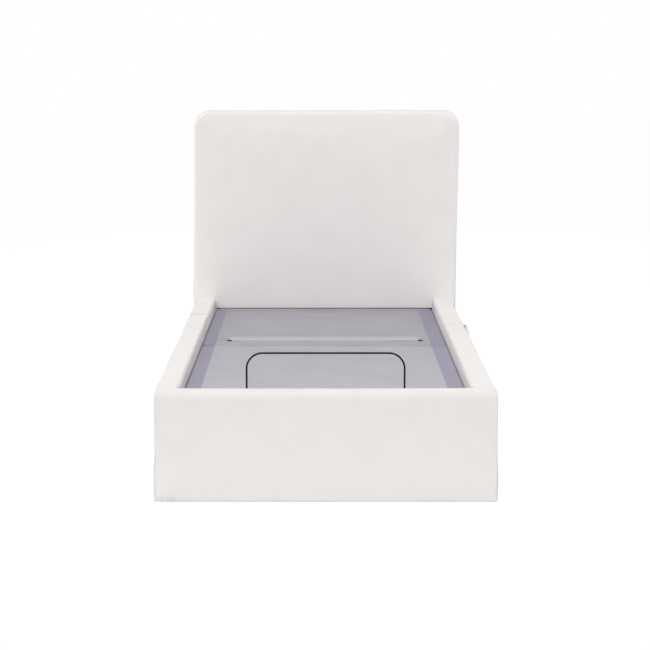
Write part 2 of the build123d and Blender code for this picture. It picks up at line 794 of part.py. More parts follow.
with BuildPart() as foot_rollers:
    rod_x(axle_radius, 2 * roller_inner, [(0, roller_y, roller_z)])
    for side in (-1, 1):
        rod_x(roller_radius, roller_width, [(side * (roller_inner + roller_width / 2), roller_y, roller_z)])
    chamfer(foot_rollers.edges().filter_by(GeomType.CIRCLE).filter_by(
        lambda edge: edge.radius > axle_collar_radius), roller_edge)
    collar_from = foot_tube_x + frame_tube_width / 2 + guide_clearance
    for side in (-1, 1):
        collar_middle = side * (collar_from + roller_inner) / 2
        rod_x(axle_collar_radius, roller_inner - collar_from, [(collar_middle, roller_y, roller_z)])
save(foot_rollers, "foot_rollers")

with BuildPart() as foot_frame:
    foot_tube_y = (roller_y - roller_radius, knee_y)
    for side in (-1, 1):
        tube_along_y(side * foot_tube_x, foot_tube_y, frame_heights, frame_tube_width, frame_tube_wall)
    rod_x(knee_eye_radius, frame_tube_width, [(side * foot_tube_x, knee_y, pivot_z) for side in (-1, 1)])
    for y in (knee_y - foot_crossing, roller_y + 2 * foot_crossing):
        frame_crossing(y, foot_frame_inner)
    rod_x(knee_pin_radius + running_clearance, deck_width, [(0, knee_y, pivot_z)], Mode.SUBTRACT)
    rod_x(axle_radius + running_clearance, deck_width, [(0, roller_y, roller_z)], Mode.SUBTRACT)
save(foot_frame, "foot_frame")

knee_rise = knee_reach * math.sin(math.radians(thigh_range))
roller_reach = knee_y - roller_y
roller_sag = pivot_z - roller_z
foot_slope = math.asin((knee_rise + roller_sag) / math.hypot(roller_reach, roller_sag))
foot_slope -= math.atan2(roller_sag, roller_reach)
print("foot slope", round(math.degrees(foot_slope), 3), "knee fold",
      round(math.degrees(foot_slope) + thigh_range, 3), "per thigh angle",
      round(math.degrees(foot_slope) / thigh_range + 1, 5))

# Retainer bar at the foot: a bent steel rod that drops into two sockets
bar_radius = 3.0
bar_spread = 497.0
bar_bend_radius = 50.0
bar_rise = 144.0
bar_from_panel = 74.0
bar_clearance = 0.3
socket_wall = 3.0
socket_depth = 50.0
socket_plate = 40.0
socket_plate_thickness = 3.0
bar_y = foot_inner + bar_from_panel
bar_places = [(-bar_spread / 2, bar_y), (bar_spread / 2, bar_y)]
bar_bottom = board_under - socket_depth
bar_top = deck_top + bar_rise - bar_radius

with BuildPart() as retainer_bar:
    with BuildLine(Plane.XZ.offset(-bar_y)) as bent:
        FilletPolyline(
            (-bar_spread / 2, bar_bottom),
            (-bar_spread / 2, bar_top),
            (bar_spread / 2, bar_top),
            (bar_spread / 2, bar_bottom),
            radius=bar_bend_radius,
        )
    with BuildSketch(Plane(origin=bent.line @ 0, z_dir=bent.line % 0)):
        Circle(bar_radius)
    sweep(path=bent.line)
save(retainer_bar, "retainer_bar")

with BuildPart() as bar_sockets:
    sleeve_radius = bar_radius + bar_clearance + socket_wall
    sleeve_low = bar_bottom - socket_wall
    for x, y in bar_places:
        plate_z = (board_under - socket_plate_thickness, board_under)
        slab(around(x, socket_plate), around(y, socket_plate), plate_z)
        rod_z(sleeve_radius, board_under - sleeve_low, [(x, y, (sleeve_low + board_under) / 2)])
        bore_middle = (x, y, (bar_bottom + board_under) / 2)
        rod_z(bar_radius + bar_clearance, board_under - bar_bottom, [bore_middle], Mode.SUBTRACT)
save(bar_sockets, "bar_sockets")

# Deck boards and pads
button_shank_radius = 4.0
button_radius = 10.0
button_height = 4.0
button_edge = 2.5
button_inset = 92.0
button_from_edge = 15.0
nut_radius = 8.0
nut_height = 6.0
button_places = [(side * (deck_width / 2 - button_inset), seat_head - button_from_edge) for side in (-1, 1)]
deck_x = around(0, deck_width)
section_spans = {
    "head": (fold_head, deck_head),
    "seat": (seat_foot, seat_head),
    "thigh": (thigh_foot, thigh_head),
    "foot": (deck_foot, foot_head),
}
through_holes = {
    "seat": (button_places, button_shank_radius + running_clearance),
    "foot": (bar_places, bar_radius + bar_clearance),
}


def round_deck_corners(made, section):
    """The two outer corners of the deck, at its head and at its foot, are rounded in plan."""
    if section in ("head", "foot"):
        uprights = made.edges().filter_by(Axis.Z).group_by(Axis.Y)
        fillet(uprights[-1] if section == "head" else uprights[0], deck_corner_radius)


for section, y_span in section_spans.items():
    with BuildPart() as deck_board:
        slab(deck_x, y_span, (board_under, board_top))
        round_deck_corners(deck_board, section)
        if section in through_holes:
            places, radius = through_holes[section]
            middle_z = (board_under + board_top) / 2
            rod_z(radius, 2 * board_thickness, [(x, y, middle_z) for x, y in places], Mode.SUBTRACT)
    save(deck_board, f"{section}_board")

    with BuildPart() as deck_pad:
        slab(deck_x, y_span, (board_top, deck_top))
        round_deck_corners(deck_pad, section)
        fillet(deck_pad.faces().sort_by(Axis.Z)[-1].edges(), pad_edge_radius)
        if section in through_holes:
            places, radius = through_holes[section]
            middle_z = (board_top + deck_top) / 2
            rod_z(radius, 2 * pad_thickness, [(x, y, middle_z) for x, y in places], Mode.SUBTRACT)
    save(deck_pad, f"{section}_pad")

with BuildPart() as deck_buttons:
    rod_z(button_radius, button_height, [(x, y, deck_top + button_height / 2) for x, y in button_places])
    crowns = deck_buttons.edges().group_by(Axis.Z)[-1]
    chamfer(crowns, button_edge)
    shank_low = board_under - nut_height
    shank_height = deck_top - shank_low
    rod_z(button_shank_radius, shank_height, [(x, y, shank_low + shank_height / 2) for x, y in button_places])
    rod_z(nut_radius, nut_height, [(x, y, shank_low + nut_height / 2) for x, y in button_places])
save(deck_buttons, "deck_buttons")

# Risers that carry the fixed seat section on the base rails
riser_inset = 2.0
with BuildPart() as seat_risers:
    for side in (-1, 1):
        riser_y = (seat_foot + riser_inset, seat_head - riser_inset)
        slab(around(side * base_rail_x, base_rail_width), riser_y, (base_top, board_under))
save(seat_risers, "seat_risers")

# Handset and its holder, hooked over the right rail within the sleeper's reach
strap_thickness = 1.5
strap_width = 34.0
strap_inner_drop = 60.0
handset_from_headboard = 720.0
handset_width = 46.0
handset_height = 146.0
handset_thickness = 17.0
handset_split = 7.5
handset_edge_radius = 3.0
handset_corner_radius = 12.0
handset_top_drop = 6.0
holder_wall = 1.5
holder_height = 62.0
holder_front_height = 36.0
holder_radius = 6.0
handset_y = head_face - handset_from_headboard
rail_outer = surround_width / 2
strap_face = rail_outer + soft_clearance + strap_thickness
handset_back_x = strap_face + holder_wall + soft_clearance
handset_front_x = handset_back_x + handset_thickness
handset_top = surround_height - handset_top_drop
handset_bottom = handset_top - handset_height
holder_bottom = handset_bottom - soft_clearance - holder_wall


def strap_outline(spread, low):
    """The rail's own section, spread outward, from a height upward."""
    width = side_wall + 2 * spread
    top = surround_height + spread
    with BuildSketch(Plane.XZ) as outline:
        with Locations((rail_middle, (low + top) / 2)):
            Rectangle(width, top - low)
        fillet(outline.vertices().group_by(Axis.Y)[-1], rail_edge_radius + spread)
    return outline.sketch


with BuildPart() as handset_holder:
    back_y = handset_y + strap_width / 2
    placed_strap = strap_outline(soft_clearance + strap_thickness, holder_bottom)
    extrude(placed_strap.moved(Location((0, back_y, 0))), amount=strap_width)
    placed_rail = strap_outline(soft_clearance, holder_bottom - cut_overrun)
    cut_place = Location((0, back_y + cut_overrun, 0))
    extrude(placed_rail.moved(cut_place), amount=strap_width + 2 * cut_overrun, mode=Mode.SUBTRACT)
    slab(
        (rail_inner - 2 * strap_thickness, rail_middle),
        around(handset_y, strap_width + 2 * cut_overrun),
        (holder_bottom - cut_overrun, surround_height - strap_inner_drop),
        Mode.SUBTRACT,
    )
    holder_x = (strap_face, handset_front_x + soft_clearance + holder_wall)
    holder_width = handset_width + 2 * (soft_clearance + holder_wall)
    slab(holder_x, around(handset_y, holder_width), (holder_bottom, holder_bottom + holder_height))
    pocket_x = (strap_face + holder_wall, holder_x[1] - holder_wall)
    pocket_z = (holder_bottom + holder_wall, holder_bottom + holder_height + cut_overrun)
    pocket_y = around(handset_y, handset_width + 2 * soft_clearance)
    slab(pocket_x, pocket_y, pocket_z, Mode.SUBTRACT)
    window_x = (pocket_x[1] - soft_clearance, holder_x[1] + cut_overrun)
    window_z = (holder_bottom + holder_front_height, pocket_z[1])
    slab(window_x, pocket_y, window_z, Mode.SUBTRACT)
save(handset_holder, "handset_holder")

# Handset shells and keys
key_width = 14.0
key_height = 12.0
key_radius = 4.0
key_clearance = 0.3
key_proud = 1.3
key_edge = 0.6
key_travel = 1.0
key_column = 20.0
key_row = 19.0
key_rows = 3
key_seat = 3.0
key_top_drop = 26.0
front_shell_x = handset_back_x + handset_split
shell_wall = 2.0
key_floor_x = handset_front_x - key_seat - key_travel - key_clearance
key_places = [
    (handset_y + (column - 1 / 2) * key_column, handset_top - key_top_drop - row * key_row)
    for row in range(key_rows) for column in range(2)
]
handset_middle_z = (handset_top + handset_bottom) / 2


def plate_x(x_span, y, z, width, height, radius, mode=Mode.ADD):
    with BuildSketch(Plane(origin=(x_span[0], y, z), x_dir=(0, 1, 0), z_dir=(1, 0, 0))) as face:
        RectangleRounded(width, height, radius)
    extrude(face.sketch, amount=x_span[1] - x_span[0], mode=mode)


def handset_plate(x_span):
    plate_x(x_span, handset_y, handset_middle_z, handset_width, handset_height, handset_corner_radius)


with BuildPart() as handset_back:
    handset_plate((handset_back_x, front_shell_x))
    fillet(handset_back.faces().sort_by(Axis.X)[0].edges(), handset_edge_radius)
save(handset_back, "handset_back")

with BuildPart() as handset_front:
    handset_plate((front_shell_x, handset_front_x))
    fillet(handset_front.faces().sort_by(Axis.X)[-1].edges(), handset_edge_radius)
    for y, z in key_places:
        hole_x = (key_floor_x, handset_front_x + cut_overrun)
        hole_width = key_width + 2 * key_clearance
        hole_height = key_height + 2 * key_clearance
        plate_x(hole_x, y, z, hole_width, hole_height, key_radius, Mode.SUBTRACT)
save(handset_front, "handset_front")

key_names = ("head_up_key", "head_down_key", "legs_up_key", "legs_down_key", "flat_key", "light_key")
for key_name, (y, z) in zip(key_names, key_places):
    with BuildPart() as key:
        key_x = (handset_front_x - key_seat, handset_front_x + key_proud)
        plate_x(key_x, y, z, key_width, key_height, key_radius)
        chamfer(key.faces().sort_by(Axis.X)[-1].edges(), key_edge)
    save(key, key_name)

print("retainer bar at y", round(bar_y, 3), "knee at y", round(knee_y, 3),
      "head axis y", round(head_axis_y, 3), "thigh axis y", round(thigh_axis_y, 3),
      "axis z", round(pivot_z, 3))
print("roller y", round(roller_y, 3), "z", round(roller_z, 3), "handset y", round(handset_y, 3),
      "front x", round(handset_front_x, 3), "top", round(handset_top, 3))
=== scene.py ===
# %% [markdown]
# # An adjustable single bed
# The bed is an upholstered surround and headboard round a jointed, padded deck. The packed
# parts come first and stay where they are. This script gives them their finishes, and makes
# again what is soft: the padded panels and the deck's cover.

# %% The frame and its measures
import json
import math

import bmesh
import bpy
import numpy as np
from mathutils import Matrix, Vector, noise


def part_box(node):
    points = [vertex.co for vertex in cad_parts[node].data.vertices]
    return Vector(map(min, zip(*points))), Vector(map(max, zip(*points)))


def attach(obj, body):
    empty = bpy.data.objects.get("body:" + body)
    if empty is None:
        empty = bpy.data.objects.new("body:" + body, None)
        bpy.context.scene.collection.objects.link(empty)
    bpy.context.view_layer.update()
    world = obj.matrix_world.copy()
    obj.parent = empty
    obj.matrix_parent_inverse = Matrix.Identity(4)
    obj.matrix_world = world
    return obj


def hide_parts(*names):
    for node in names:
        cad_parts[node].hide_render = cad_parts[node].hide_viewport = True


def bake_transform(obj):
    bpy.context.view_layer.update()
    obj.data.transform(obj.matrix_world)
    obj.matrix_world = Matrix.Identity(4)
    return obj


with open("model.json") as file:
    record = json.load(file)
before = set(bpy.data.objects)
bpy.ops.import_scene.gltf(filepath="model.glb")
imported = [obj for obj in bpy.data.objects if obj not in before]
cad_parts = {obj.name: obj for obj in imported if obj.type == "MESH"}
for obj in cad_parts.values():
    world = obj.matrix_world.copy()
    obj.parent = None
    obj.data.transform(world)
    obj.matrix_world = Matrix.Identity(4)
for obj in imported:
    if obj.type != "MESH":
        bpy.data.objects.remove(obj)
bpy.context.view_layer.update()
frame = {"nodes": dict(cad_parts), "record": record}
mm = 0.001

# %% [markdown]
# ## Camera
# The view is from the foot end, a little to the left of the middle and above the headboard's
# top. A long lens keeps the sides nearly parallel, as in a catalogue picture.

# %% Camera
camera_place = Vector((-0.014, -6.445, 1.397))
look_down = math.radians(8.94)
look_right = math.radians(0.125)

lens = bpy.data.cameras.new("camera")
lens.sensor_width = 36.0
lens.lens = 98.65
camera = bpy.data.objects.new("camera", lens)
camera.location = camera_place
camera.rotation_euler = (math.pi / 2 - look_down, 0, -look_right)
bpy.context.scene.collection.objects.link(camera)
bpy.context.scene.camera = camera
print("camera", round(lens.lens, 1), "mm lens", [round(v, 3) for v in camera_place])

# %% [markdown]
# ## Shader sums in plain Python
# A finish is a small graph of nodes. Written out node by node it is hard to read, so a Signal
# stands for one output socket and knows +, - and *. Finish.node adds every other node.

# %% Signal and Finish
class Signal:
    """The output of a shader node, with Python's operators for its sums."""

    def __init__(self, finish, socket):
        self.finish = finish
        self.socket = socket

    def math(self, operation, *values):
        return self.finish.node("Math", {"operation": operation}, dict(enumerate(values)))

    def __add__(self, other):
        return self.math("ADD", self, other)

    def __sub__(self, other):
        return self.math("SUBTRACT", self, other)

    def __rsub__(self, other):
        return self.math("SUBTRACT", other, self)

    def __mul__(self, other):
        return self.math("MULTIPLY", self, other)

    __radd__ = __add__
    __rmul__ = __mul__

    def sine(self):
        return self.math("SINE", self)

    def size(self):
        return self.math("ABSOLUTE", self)

    def larger(self, other):
        return self.math("MAXIMUM", self, other)

    def above(self, edge):
        return self.math("GREATER_THAN", self, edge)


class Finish:
    """A material in the making. Constants go straight onto the shader's sockets."""

    def __init__(self, name, **constants):
        self.material = bpy.data.materials.new(name)
        self.material.use_nodes = True
        self.tree = self.material.node_tree
        self.shader = self.tree.nodes["Principled BSDF"]
        for socket, value in constants.items():
            self.shader.inputs[socket.replace("_", " ")].default_value = value

    def feed(self, socket, value):
        if isinstance(value, Signal):
            self.tree.links.new(value.socket, socket)
        elif value is not None:
            socket.default_value = value

    def node(self, kind, settings=None, sockets=None, output=0):
        made = self.tree.nodes.new("ShaderNode" + kind)
        for name, value in (settings or {}).items():
            if name == "stops":
                ramp = made.color_ramp.elements
                while len(ramp) < len(value):
                    ramp.new(0.5)
                for element, (place, grey) in zip(ramp, value):
                    element.position = place
                    element.color = (grey, grey, grey, 1.0)
            else:
                setattr(made, name, value)
        for key, value in (sockets or {}).items():
            self.feed(made.inputs[key], value)
        return Signal(self, made.outputs[output])

    def object_place(self):
        return self.node("TexCoord", output=3)

    def cloth_place(self):
        return self.node("UVMap", {"uv_map": "cloth"})

    def in_crease(self):
        """How much painted shade a seam or crease gives a point, 0 to 1: how far it is drawn in,
        times its darkness.
        """
        return self.node("Attribute", {"attribute_name": "crease"}, output=2)

    def split(self, vector):
        parts = self.tree.nodes.new("ShaderNodeSeparateXYZ")
        self.feed(parts.inputs[0], vector)
        return [Signal(self, parts.outputs[axis]) for axis in range(3)]

    def stretched(self, vector, scale):
        return self.node("Mapping", {}, {"Vector": vector, "Scale": scale})

    def noise(self, vector, scale, detail=2.0, roughness=0.5):
        sockets = {"Vector": vector, "Scale": scale, "Detail": detail, "Roughness": roughness}
        return self.node("TexNoise", {}, sockets)

    def between(self, value, low, high):
        """0 where value is at low, 1 where it is at high, and even steps in between."""
        return self.node("MapRange", {}, {"Value": value, "From Min": low, "From Max": high})

    def mix(self, factor, first, second):
        colours = {0: factor, 6: first, 7: second}
        return self.node("Mix", {"data_type": "RGBA"}, colours, output=2)

    def colour(self, value):
        self.feed(self.shader.inputs["Base Color"], value)

    def rough(self, value):
        self.feed(self.shader.inputs["Roughness"], value)

    def relief(self, height, distance, strength=1.0):
        sockets = {"Height": height, "Distance": distance, "Strength": strength}
        self.feed(self.shader.inputs["Normal"], self.node("Bump", {}, sockets))


def srgb(red, green, blue):
    """A colour as a picture editor shows it, 0 to 255, in the linear light that shaders use."""
    def linear(level):
        share = level / 255
        return share / 12.92 if share <= 0.04045 else ((share + 0.055) / 1.055) ** 2.4
    return (linear(red), linear(green), linear(blue), 1.0)


print("white cloth in linear light", [round(level, 3) for level in srgb(236, 233, 230)])

# %% [markdown]
# ## Cloth finishes
# The cover is a plain weave of thick matt yarn. Two rows of rounded yarns cross, and the one
# that lies on top changes from square to square. The pattern reads the cloth's own UV map, in
# metres, so that it bends with the cloth. Slubs and a soft mottle keep it from looking printed.

# %% Weave
def weave(finish, place, pitch):
    """The height of a plain weave, 0 to 1, for a UV place in metres."""
    across, along, _ = finish.split(place)
    warp = (across * (math.pi / pitch)).sine()
    weft = (along * (math.pi / pitch)).sine()
    over = (warp * weft).above(0.0)
    warp_top = warp.size() * (weft.size() * 0.35 + 0.65)
    weft_top = weft.size() * (warp.size() * 0.35 + 0.65)
    return warp_top * over + weft_top * (1.0 - over)


def cover_cloth(name, light, shade, pitch):
    finish = Finish(name, Sheen_Weight=0.08, Sheen_Roughness=0.5, Specular_IOR_Level=0.25)
    place = finish.cloth_place()
    yarn = weave(finish, place, pitch)
    slubs = finish.noise(finish.stretched(place, (90.0, 700.0, 1.0)), 1.0)
    mottle = finish.noise(place, 9.0, 4.0)
    level = yarn * 0.45 + slubs * 0.3 + mottle * 0.5 - 0.1
    tone = finish.mix(level, shade, light)
    # Painted shade: seams, folds and rucks darken towards crease_shade, as far as the crease
    # attribute says.
    finish.colour(finish.mix(finish.in_crease(), tone, crease_shade))
    finish.rough(0.95 - yarn * 0.12)
    finish.relief(yarn + slubs * 0.5, 0.35 * mm, 0.5)
    return finish.material


# The colour of the painted shade in the cover's seams, folds and rucks.
crease_shade = srgb(110, 106, 104)
cover_pitch = 2.2 * mm
cover_fabric = cover_cloth("cover_fabric", srgb(241, 238, 236), srgb(225, 221, 219), cover_pitch)
print("cover yarns per decimetre", round(0.1 / cover_pitch))

# %% [markdown]
# The deck's cover is a finer, smoother cloth in two colours: grey in the middle and lilac in a
# band along each side. The band's edge is read from a mesh attribute that keeps each point's
# place on the flat deck, so that the edge stays put on the cloth when the deck folds. The same
# place carries painted shade along the bed: the cloth is darkened towards the headboard in steps,
# with a step at the welt and the most in the last few centimetres, where the headboard shades
# the deck. It also places a painted highlight on the sloped strip between the two buttons,
# lightest at its foot side. Seams, dimples and dips get painted shade from the crease attribute.
# The cover was pulled on a little askew, and drifts to the left towards the head.

# %% Deck cloth
# The colour of the painted shade in the deck cover's seams, dimples and dips.
seam_shade = srgb(92, 90, 97)
band_edge = 0.3985
band_soft = 1.5 * mm
deck_pitch = 1.1 * mm
# Painted shade along the deck, foot (0) to head (1): darker towards the headboard, with a step at
# the welt, and darkest in the last few centimetres before the headboard.
deck_painted_shade_stops = [(0.0, 0.74), (0.5, 0.58), (0.518, 0.56), (0.524, 0.43), (0.563, 0.43), (0.567, 0.40),
             (0.66, 0.41), (0.75, 0.41), (0.90, 0.31), (0.95, 0.22), (0.9925, 0.05)]
# Painted highlight: the sloped strip between the buttons, from the seat board's edge to the head
# board's edge, is lightened where it faces the light.
highlight_strip_y = (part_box("seat_pad")[1].y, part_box("head_pad")[0].y)
highlight_strip_half = 0.358
highlight_strip_soft = 3 * mm
drift_at_foot, drift_at_head = 3 * mm, 10 * mm


def deck_cloth():
    finish = Finish("deck_fabric", Sheen_Weight=0.04, Sheen_Roughness=0.6, Specular_IOR_Level=0.15)
    place = finish.cloth_place()
    flat_place = finish.node("Attribute", {"attribute_name": "flat_place"}, output=1)
    side, along, _ = finish.split(flat_place)
    drift = finish.between(along, -1.0, 1.0) * (drift_at_head - drift_at_foot) + drift_at_foot
    band = finish.between((side + drift).size(), band_edge - band_soft, band_edge + band_soft)
    # Painted shade along the deck, darkest at the headboard.
    painted_shade_along = finish.node("ValToRGB", {"stops": deck_painted_shade_stops}, {"Fac": finish.between(along, -1.0, 1.0)})
    inside = finish.between(side.size(), highlight_strip_half + highlight_strip_soft, highlight_strip_half - highlight_strip_soft)
    past_step = finish.between(along, highlight_strip_y[0] - 1 * mm, highlight_strip_y[0] + 1 * mm)
    before_head = finish.between(along, highlight_strip_y[1] + 4 * mm, highlight_strip_y[1] - 4 * mm)
    # Where the strip's painted highlight lies.
    highlight_strip_mask = inside * past_step * before_head
    up_the_slope = finish.between(along, highlight_strip_y[0], highlight_strip_y[1])
    yarn = weave(finish, place, deck_pitch)
    mottle = finish.noise(place, 6.0, 4.0)
    # Painted shade along the deck, plus the cloth's own yarn and mottle.
    level = painted_shade_along + yarn * 0.2 + mottle * 0.3 - 0.23
    grey = finish.mix(level, srgb(135, 133, 139), srgb(190, 188, 195))
    # Painted highlight on the strip, lightest at its foot side.
    panel = finish.mix(up_the_slope, srgb(195, 194, 199), srgb(173, 172, 177))
    grey = finish.mix(highlight_strip_mask, grey, panel)
    lilac = finish.mix(level, srgb(136, 132, 148), srgb(158, 154, 171))
    tone = finish.mix(band, grey, lilac)
    # Painted shade: the cloth darkens towards seam_shade, as far as the crease attribute says.
    finish.colour(finish.mix(finish.in_crease(), tone, seam_shade))
    finish.rough(0.85 - yarn * 0.1)
    finish.relief(yarn, 0.15 * mm, 0.4)
    return finish.material


deck_fabric = deck_cloth()
print("deck band starts", band_edge, "m from the middle")

# %% [markdown]
# ## Hard finishes
# Each of these reads object coordinates in metres, so its grain has its real size. Steel parts
# are powder coated, zinc plated or painted. Plastics have a fine moulded grain. Timber has
# rings stretched along the board, and plywood shows its layers on the edges.

# %% Coatings and plastics
def grained(name, base, rough, grain, depth, metal=0.0, spread=0.06, coat=0.0, gleam=0.5):
    """A coating or moulding: a fine grain in the surface and a slight drift of tone."""
    finish = Finish(name, Metallic=metal, Coat_Weight=coat, Coat_Roughness=0.25,
                    Specular_IOR_Level=gleam)
    place = finish.object_place()
    fine = finish.noise(place, 1.0 / grain, 3.0)
    drift = finish.noise(place, 7.0, 3.0)
    dark = [level * (1 - spread) for level in base[:3]] + [1.0]
    light = [min(1.0, level * (1 + spread)) for level in base[:3]] + [1.0]
    finish.colour(finish.mix(drift * 0.7 + fine * 0.3, dark, light))
    finish.rough(drift * 0.1 + fine * 0.08 + (rough - 0.09))
    finish.relief(fine, depth, 0.5)
    return finish.material


def timber(name, pale, dark, rings, along):
    """Planed wood: growth rings drawn out along one axis, with fine pores."""
    finish = Finish(name, Specular_IOR_Level=0.3)
    scale = [rings] * 3
    scale[along] = rings * 0.05
    place = finish.stretched(finish.object_place(), scale)
    flow = finish.noise(place, 1.0, 3.0)
    pores = finish.noise(place, 9.0, 2.0)
    bands = (flow * 26.0).sine() * 0.35 + 0.5
    finish.colour(finish.mix(bands * 0.8 + pores * 0.2, dark, pale))
    finish.rough(0.72 - bands * 0.1)
    finish.relief(bands * 0.4 + pores, 0.15 * mm, 0.4)
    return finish.material


def layered(name, pale, dark, layer):
    """Birch plywood: a faint grain on the face and glued layers round the edge."""
    finish = Finish(name, Specular_IOR_Level=0.3)
    place = finish.object_place()
    height = finish.split(place)[2]
    layers = (height * (2 * math.pi / layer)).sine() * 0.5 + 0.5
    flow = finish.noise(finish.stretched(place, (22.0, 1.4, 22.0)), 1.0, 4.0)
    level = flow * 0.7 + layers * 0.3
    finish.colour(finish.mix(level, dark, pale))
    finish.rough(0.68 - flow * 0.1)
    finish.relief(flow, 0.1 * mm, 0.3)
    return finish.material


finishes = {
    "core_timber": timber("core_timber", srgb(222, 194, 150), srgb(178, 138, 92), 60.0, 0),
    "plywood": layered("plywood", srgb(226, 203, 164), srgb(188, 154, 108), 2.6 * mm),
    "back_board": grained("back_board", srgb(214, 210, 204), 0.92, 1.2 * mm, 0.25 * mm),
    "frame_steel": grained("frame_steel", srgb(40, 40, 43), 0.42, 1.6 * mm, 0.03 * mm),
    "zinc_steel": grained("zinc_steel", srgb(186, 188, 192), 0.34, 3.0 * mm, 0.01 * mm, 1.0, 0.12),
    "bar_steel": grained("bar_steel", srgb(7, 7, 8), 0.42, 1.2 * mm, 0.02 * mm, gleam=0.15),
    "motor_steel": grained("motor_steel", srgb(62, 62, 66), 0.36, 1.0 * mm, 0.02 * mm, coat=0.2),
    "drive_plastic": grained("drive_plastic", srgb(58, 58, 61), 0.55, 0.5 * mm, 0.05 * mm),
    "block_plastic": grained("block_plastic", srgb(236, 233, 222), 0.4, 0.8 * mm, 0.01 * mm),
    "bush_plastic": grained("bush_plastic", srgb(232, 228, 210), 0.45, 0.8 * mm, 0.02 * mm),
    "glide_plastic": grained("glide_plastic", srgb(30, 30, 31), 0.5, 0.5 * mm, 0.04 * mm),
    "roller_plastic": grained("roller_plastic", srgb(228, 227, 224), 0.42, 0.8 * mm, 0.01 * mm),
    "control_plastic": grained("control_plastic", srgb(44, 44, 47), 0.6, 0.45 * mm, 0.06 * mm),
    "button_metal": grained("button_metal", srgb(46, 46, 50), 0.4, 0.9 * mm, 0.02 * mm, 0.6),
    "handset_plastic": grained("handset_plastic", srgb(238, 236, 234), 0.38, 0.6 * mm, 0.02 * mm),
    "key_plastic": grained("key_plastic", srgb(150, 152, 158), 0.62, 0.5 * mm, 0.03 * mm),
    # The handset's mid grey rear shell is partly a two-tone moulding and partly painted shade,
    # standing in for the shadowed sides of the handset.
    "shell_plastic": grained("shell_plastic", srgb(176, 177, 180), 0.6, 0.5 * mm, 0.04 * mm),
    "holder_plastic": grained("holder_plastic", srgb(233, 230, 226), 0.8, 0.8 * mm, 0.05 * mm,
                              gleam=0.2),
}

for sub_part in frame["record"]["subparts"]:
    node = frame["nodes"][sub_part["node"]]
    chosen = finishes.get(sub_part["material_slot"], cover_fabric)
    node.data.materials.clear()
    node.data.materials.append(chosen)
print("finishes", len(finishes) + 2)

# %% [markdown]
# ## Padded panels
# Each panel is foam on a board under tight cloth. A bevelled cube is cut into rows, blown up
# from inside with Blender's Cloth while its back is held, and subdivided once. The blow-up
# is capped at a few millimetres, because the cloth on this bed is pulled tight.

# %% Blocks, rows and cloth UVs
row_pitch = 25 * mm


def spaced(low, high, pitch=row_pitch):
    """Places between two ends, evenly spaced, without the ends."""
    count = max(1, round((high - low) / pitch))
    return [low + (high - low) * step / count for step in range(1, count)]


def cut_rows(mesh, axis, places):
    """Cuts the whole mesh across one axis at each place."""
    normal = Vector([float(axis == k) for k in range(3)])
    for place in places:
        geometry = mesh.verts[:] + mesh.edges[:] + mesh.faces[:]
        bmesh.ops.bisect_plane(mesh, geom=geometry, dist=0.01 * mm, plane_co=normal * place,
                               plane_no=normal)


def block(low, high):
    mesh = bmesh.new()
    bmesh.ops.create_cube(mesh, size=1.0)
    bmesh.ops.scale(mesh, vec=high - low, verts=mesh.verts)
    bmesh.ops.translate(mesh, vec=(low + high) / 2, verts=mesh.verts)
    return mesh


def soften(mesh, edges, radius, segments):
    bmesh.ops.bevel(mesh, geom=edges, offset=radius, affect="EDGES", segments=segments,
                    profile=0.5, material=-1)


def lay_cloth(mesh):
    """Lays the cloth's UV map on each face along its own flat direction, in metres."""
    layer = mesh.loops.layers.uv.new("cloth")
    flat_axes = [(1, 2), (0, 2), (0, 1)]
    for face in mesh.faces:
        facing = max(range(3), key=lambda axis: abs(face.normal[axis]))
        first, second = flat_axes[facing]
        for loop in face.loops:
            loop[layer].uv = (loop.vert.co[first], loop.vert.co[second])


def piece_from(mesh, name, material):
    """Closes a bmesh into a named, smooth-shaded object at the origin."""
    bmesh.ops.recalc_face_normals(mesh, faces=mesh.faces)
    lay_cloth(mesh)
    data = bpy.data.meshes.new(name)
    mesh.to_mesh(data)
    mesh.free()
    data.polygons.foreach_set("use_smooth", [True] * len(data.polygons))
    data.materials.append(material)
    piece = bpy.data.objects.new(name, data)
    bpy.context.scene.collection.objects.link(piece)
    return piece


def points_of(piece):
    return np.array([vertex.co for vertex in piece.data.vertices]).reshape(-1, 3)


def move_points(piece, points):
    piece.data.vertices.foreach_set("co", points.astype(np.float32).ravel())
    piece.data.update()


def applied(piece):
    """Puts what the modifiers do into the mesh itself."""
    graph = bpy.context.evaluated_depsgraph_get()
    evaluated = piece.evaluated_get(graph)
    data = bpy.data.meshes.new_from_object(evaluated, preserve_all_data_layers=True,
                                           depsgraph=graph)
    piece.modifiers.clear()
    piece.data = data
    return piece


print("rows every", row_pitch / mm, "mm")

# %% Stuffing
stuffing_frames = 20


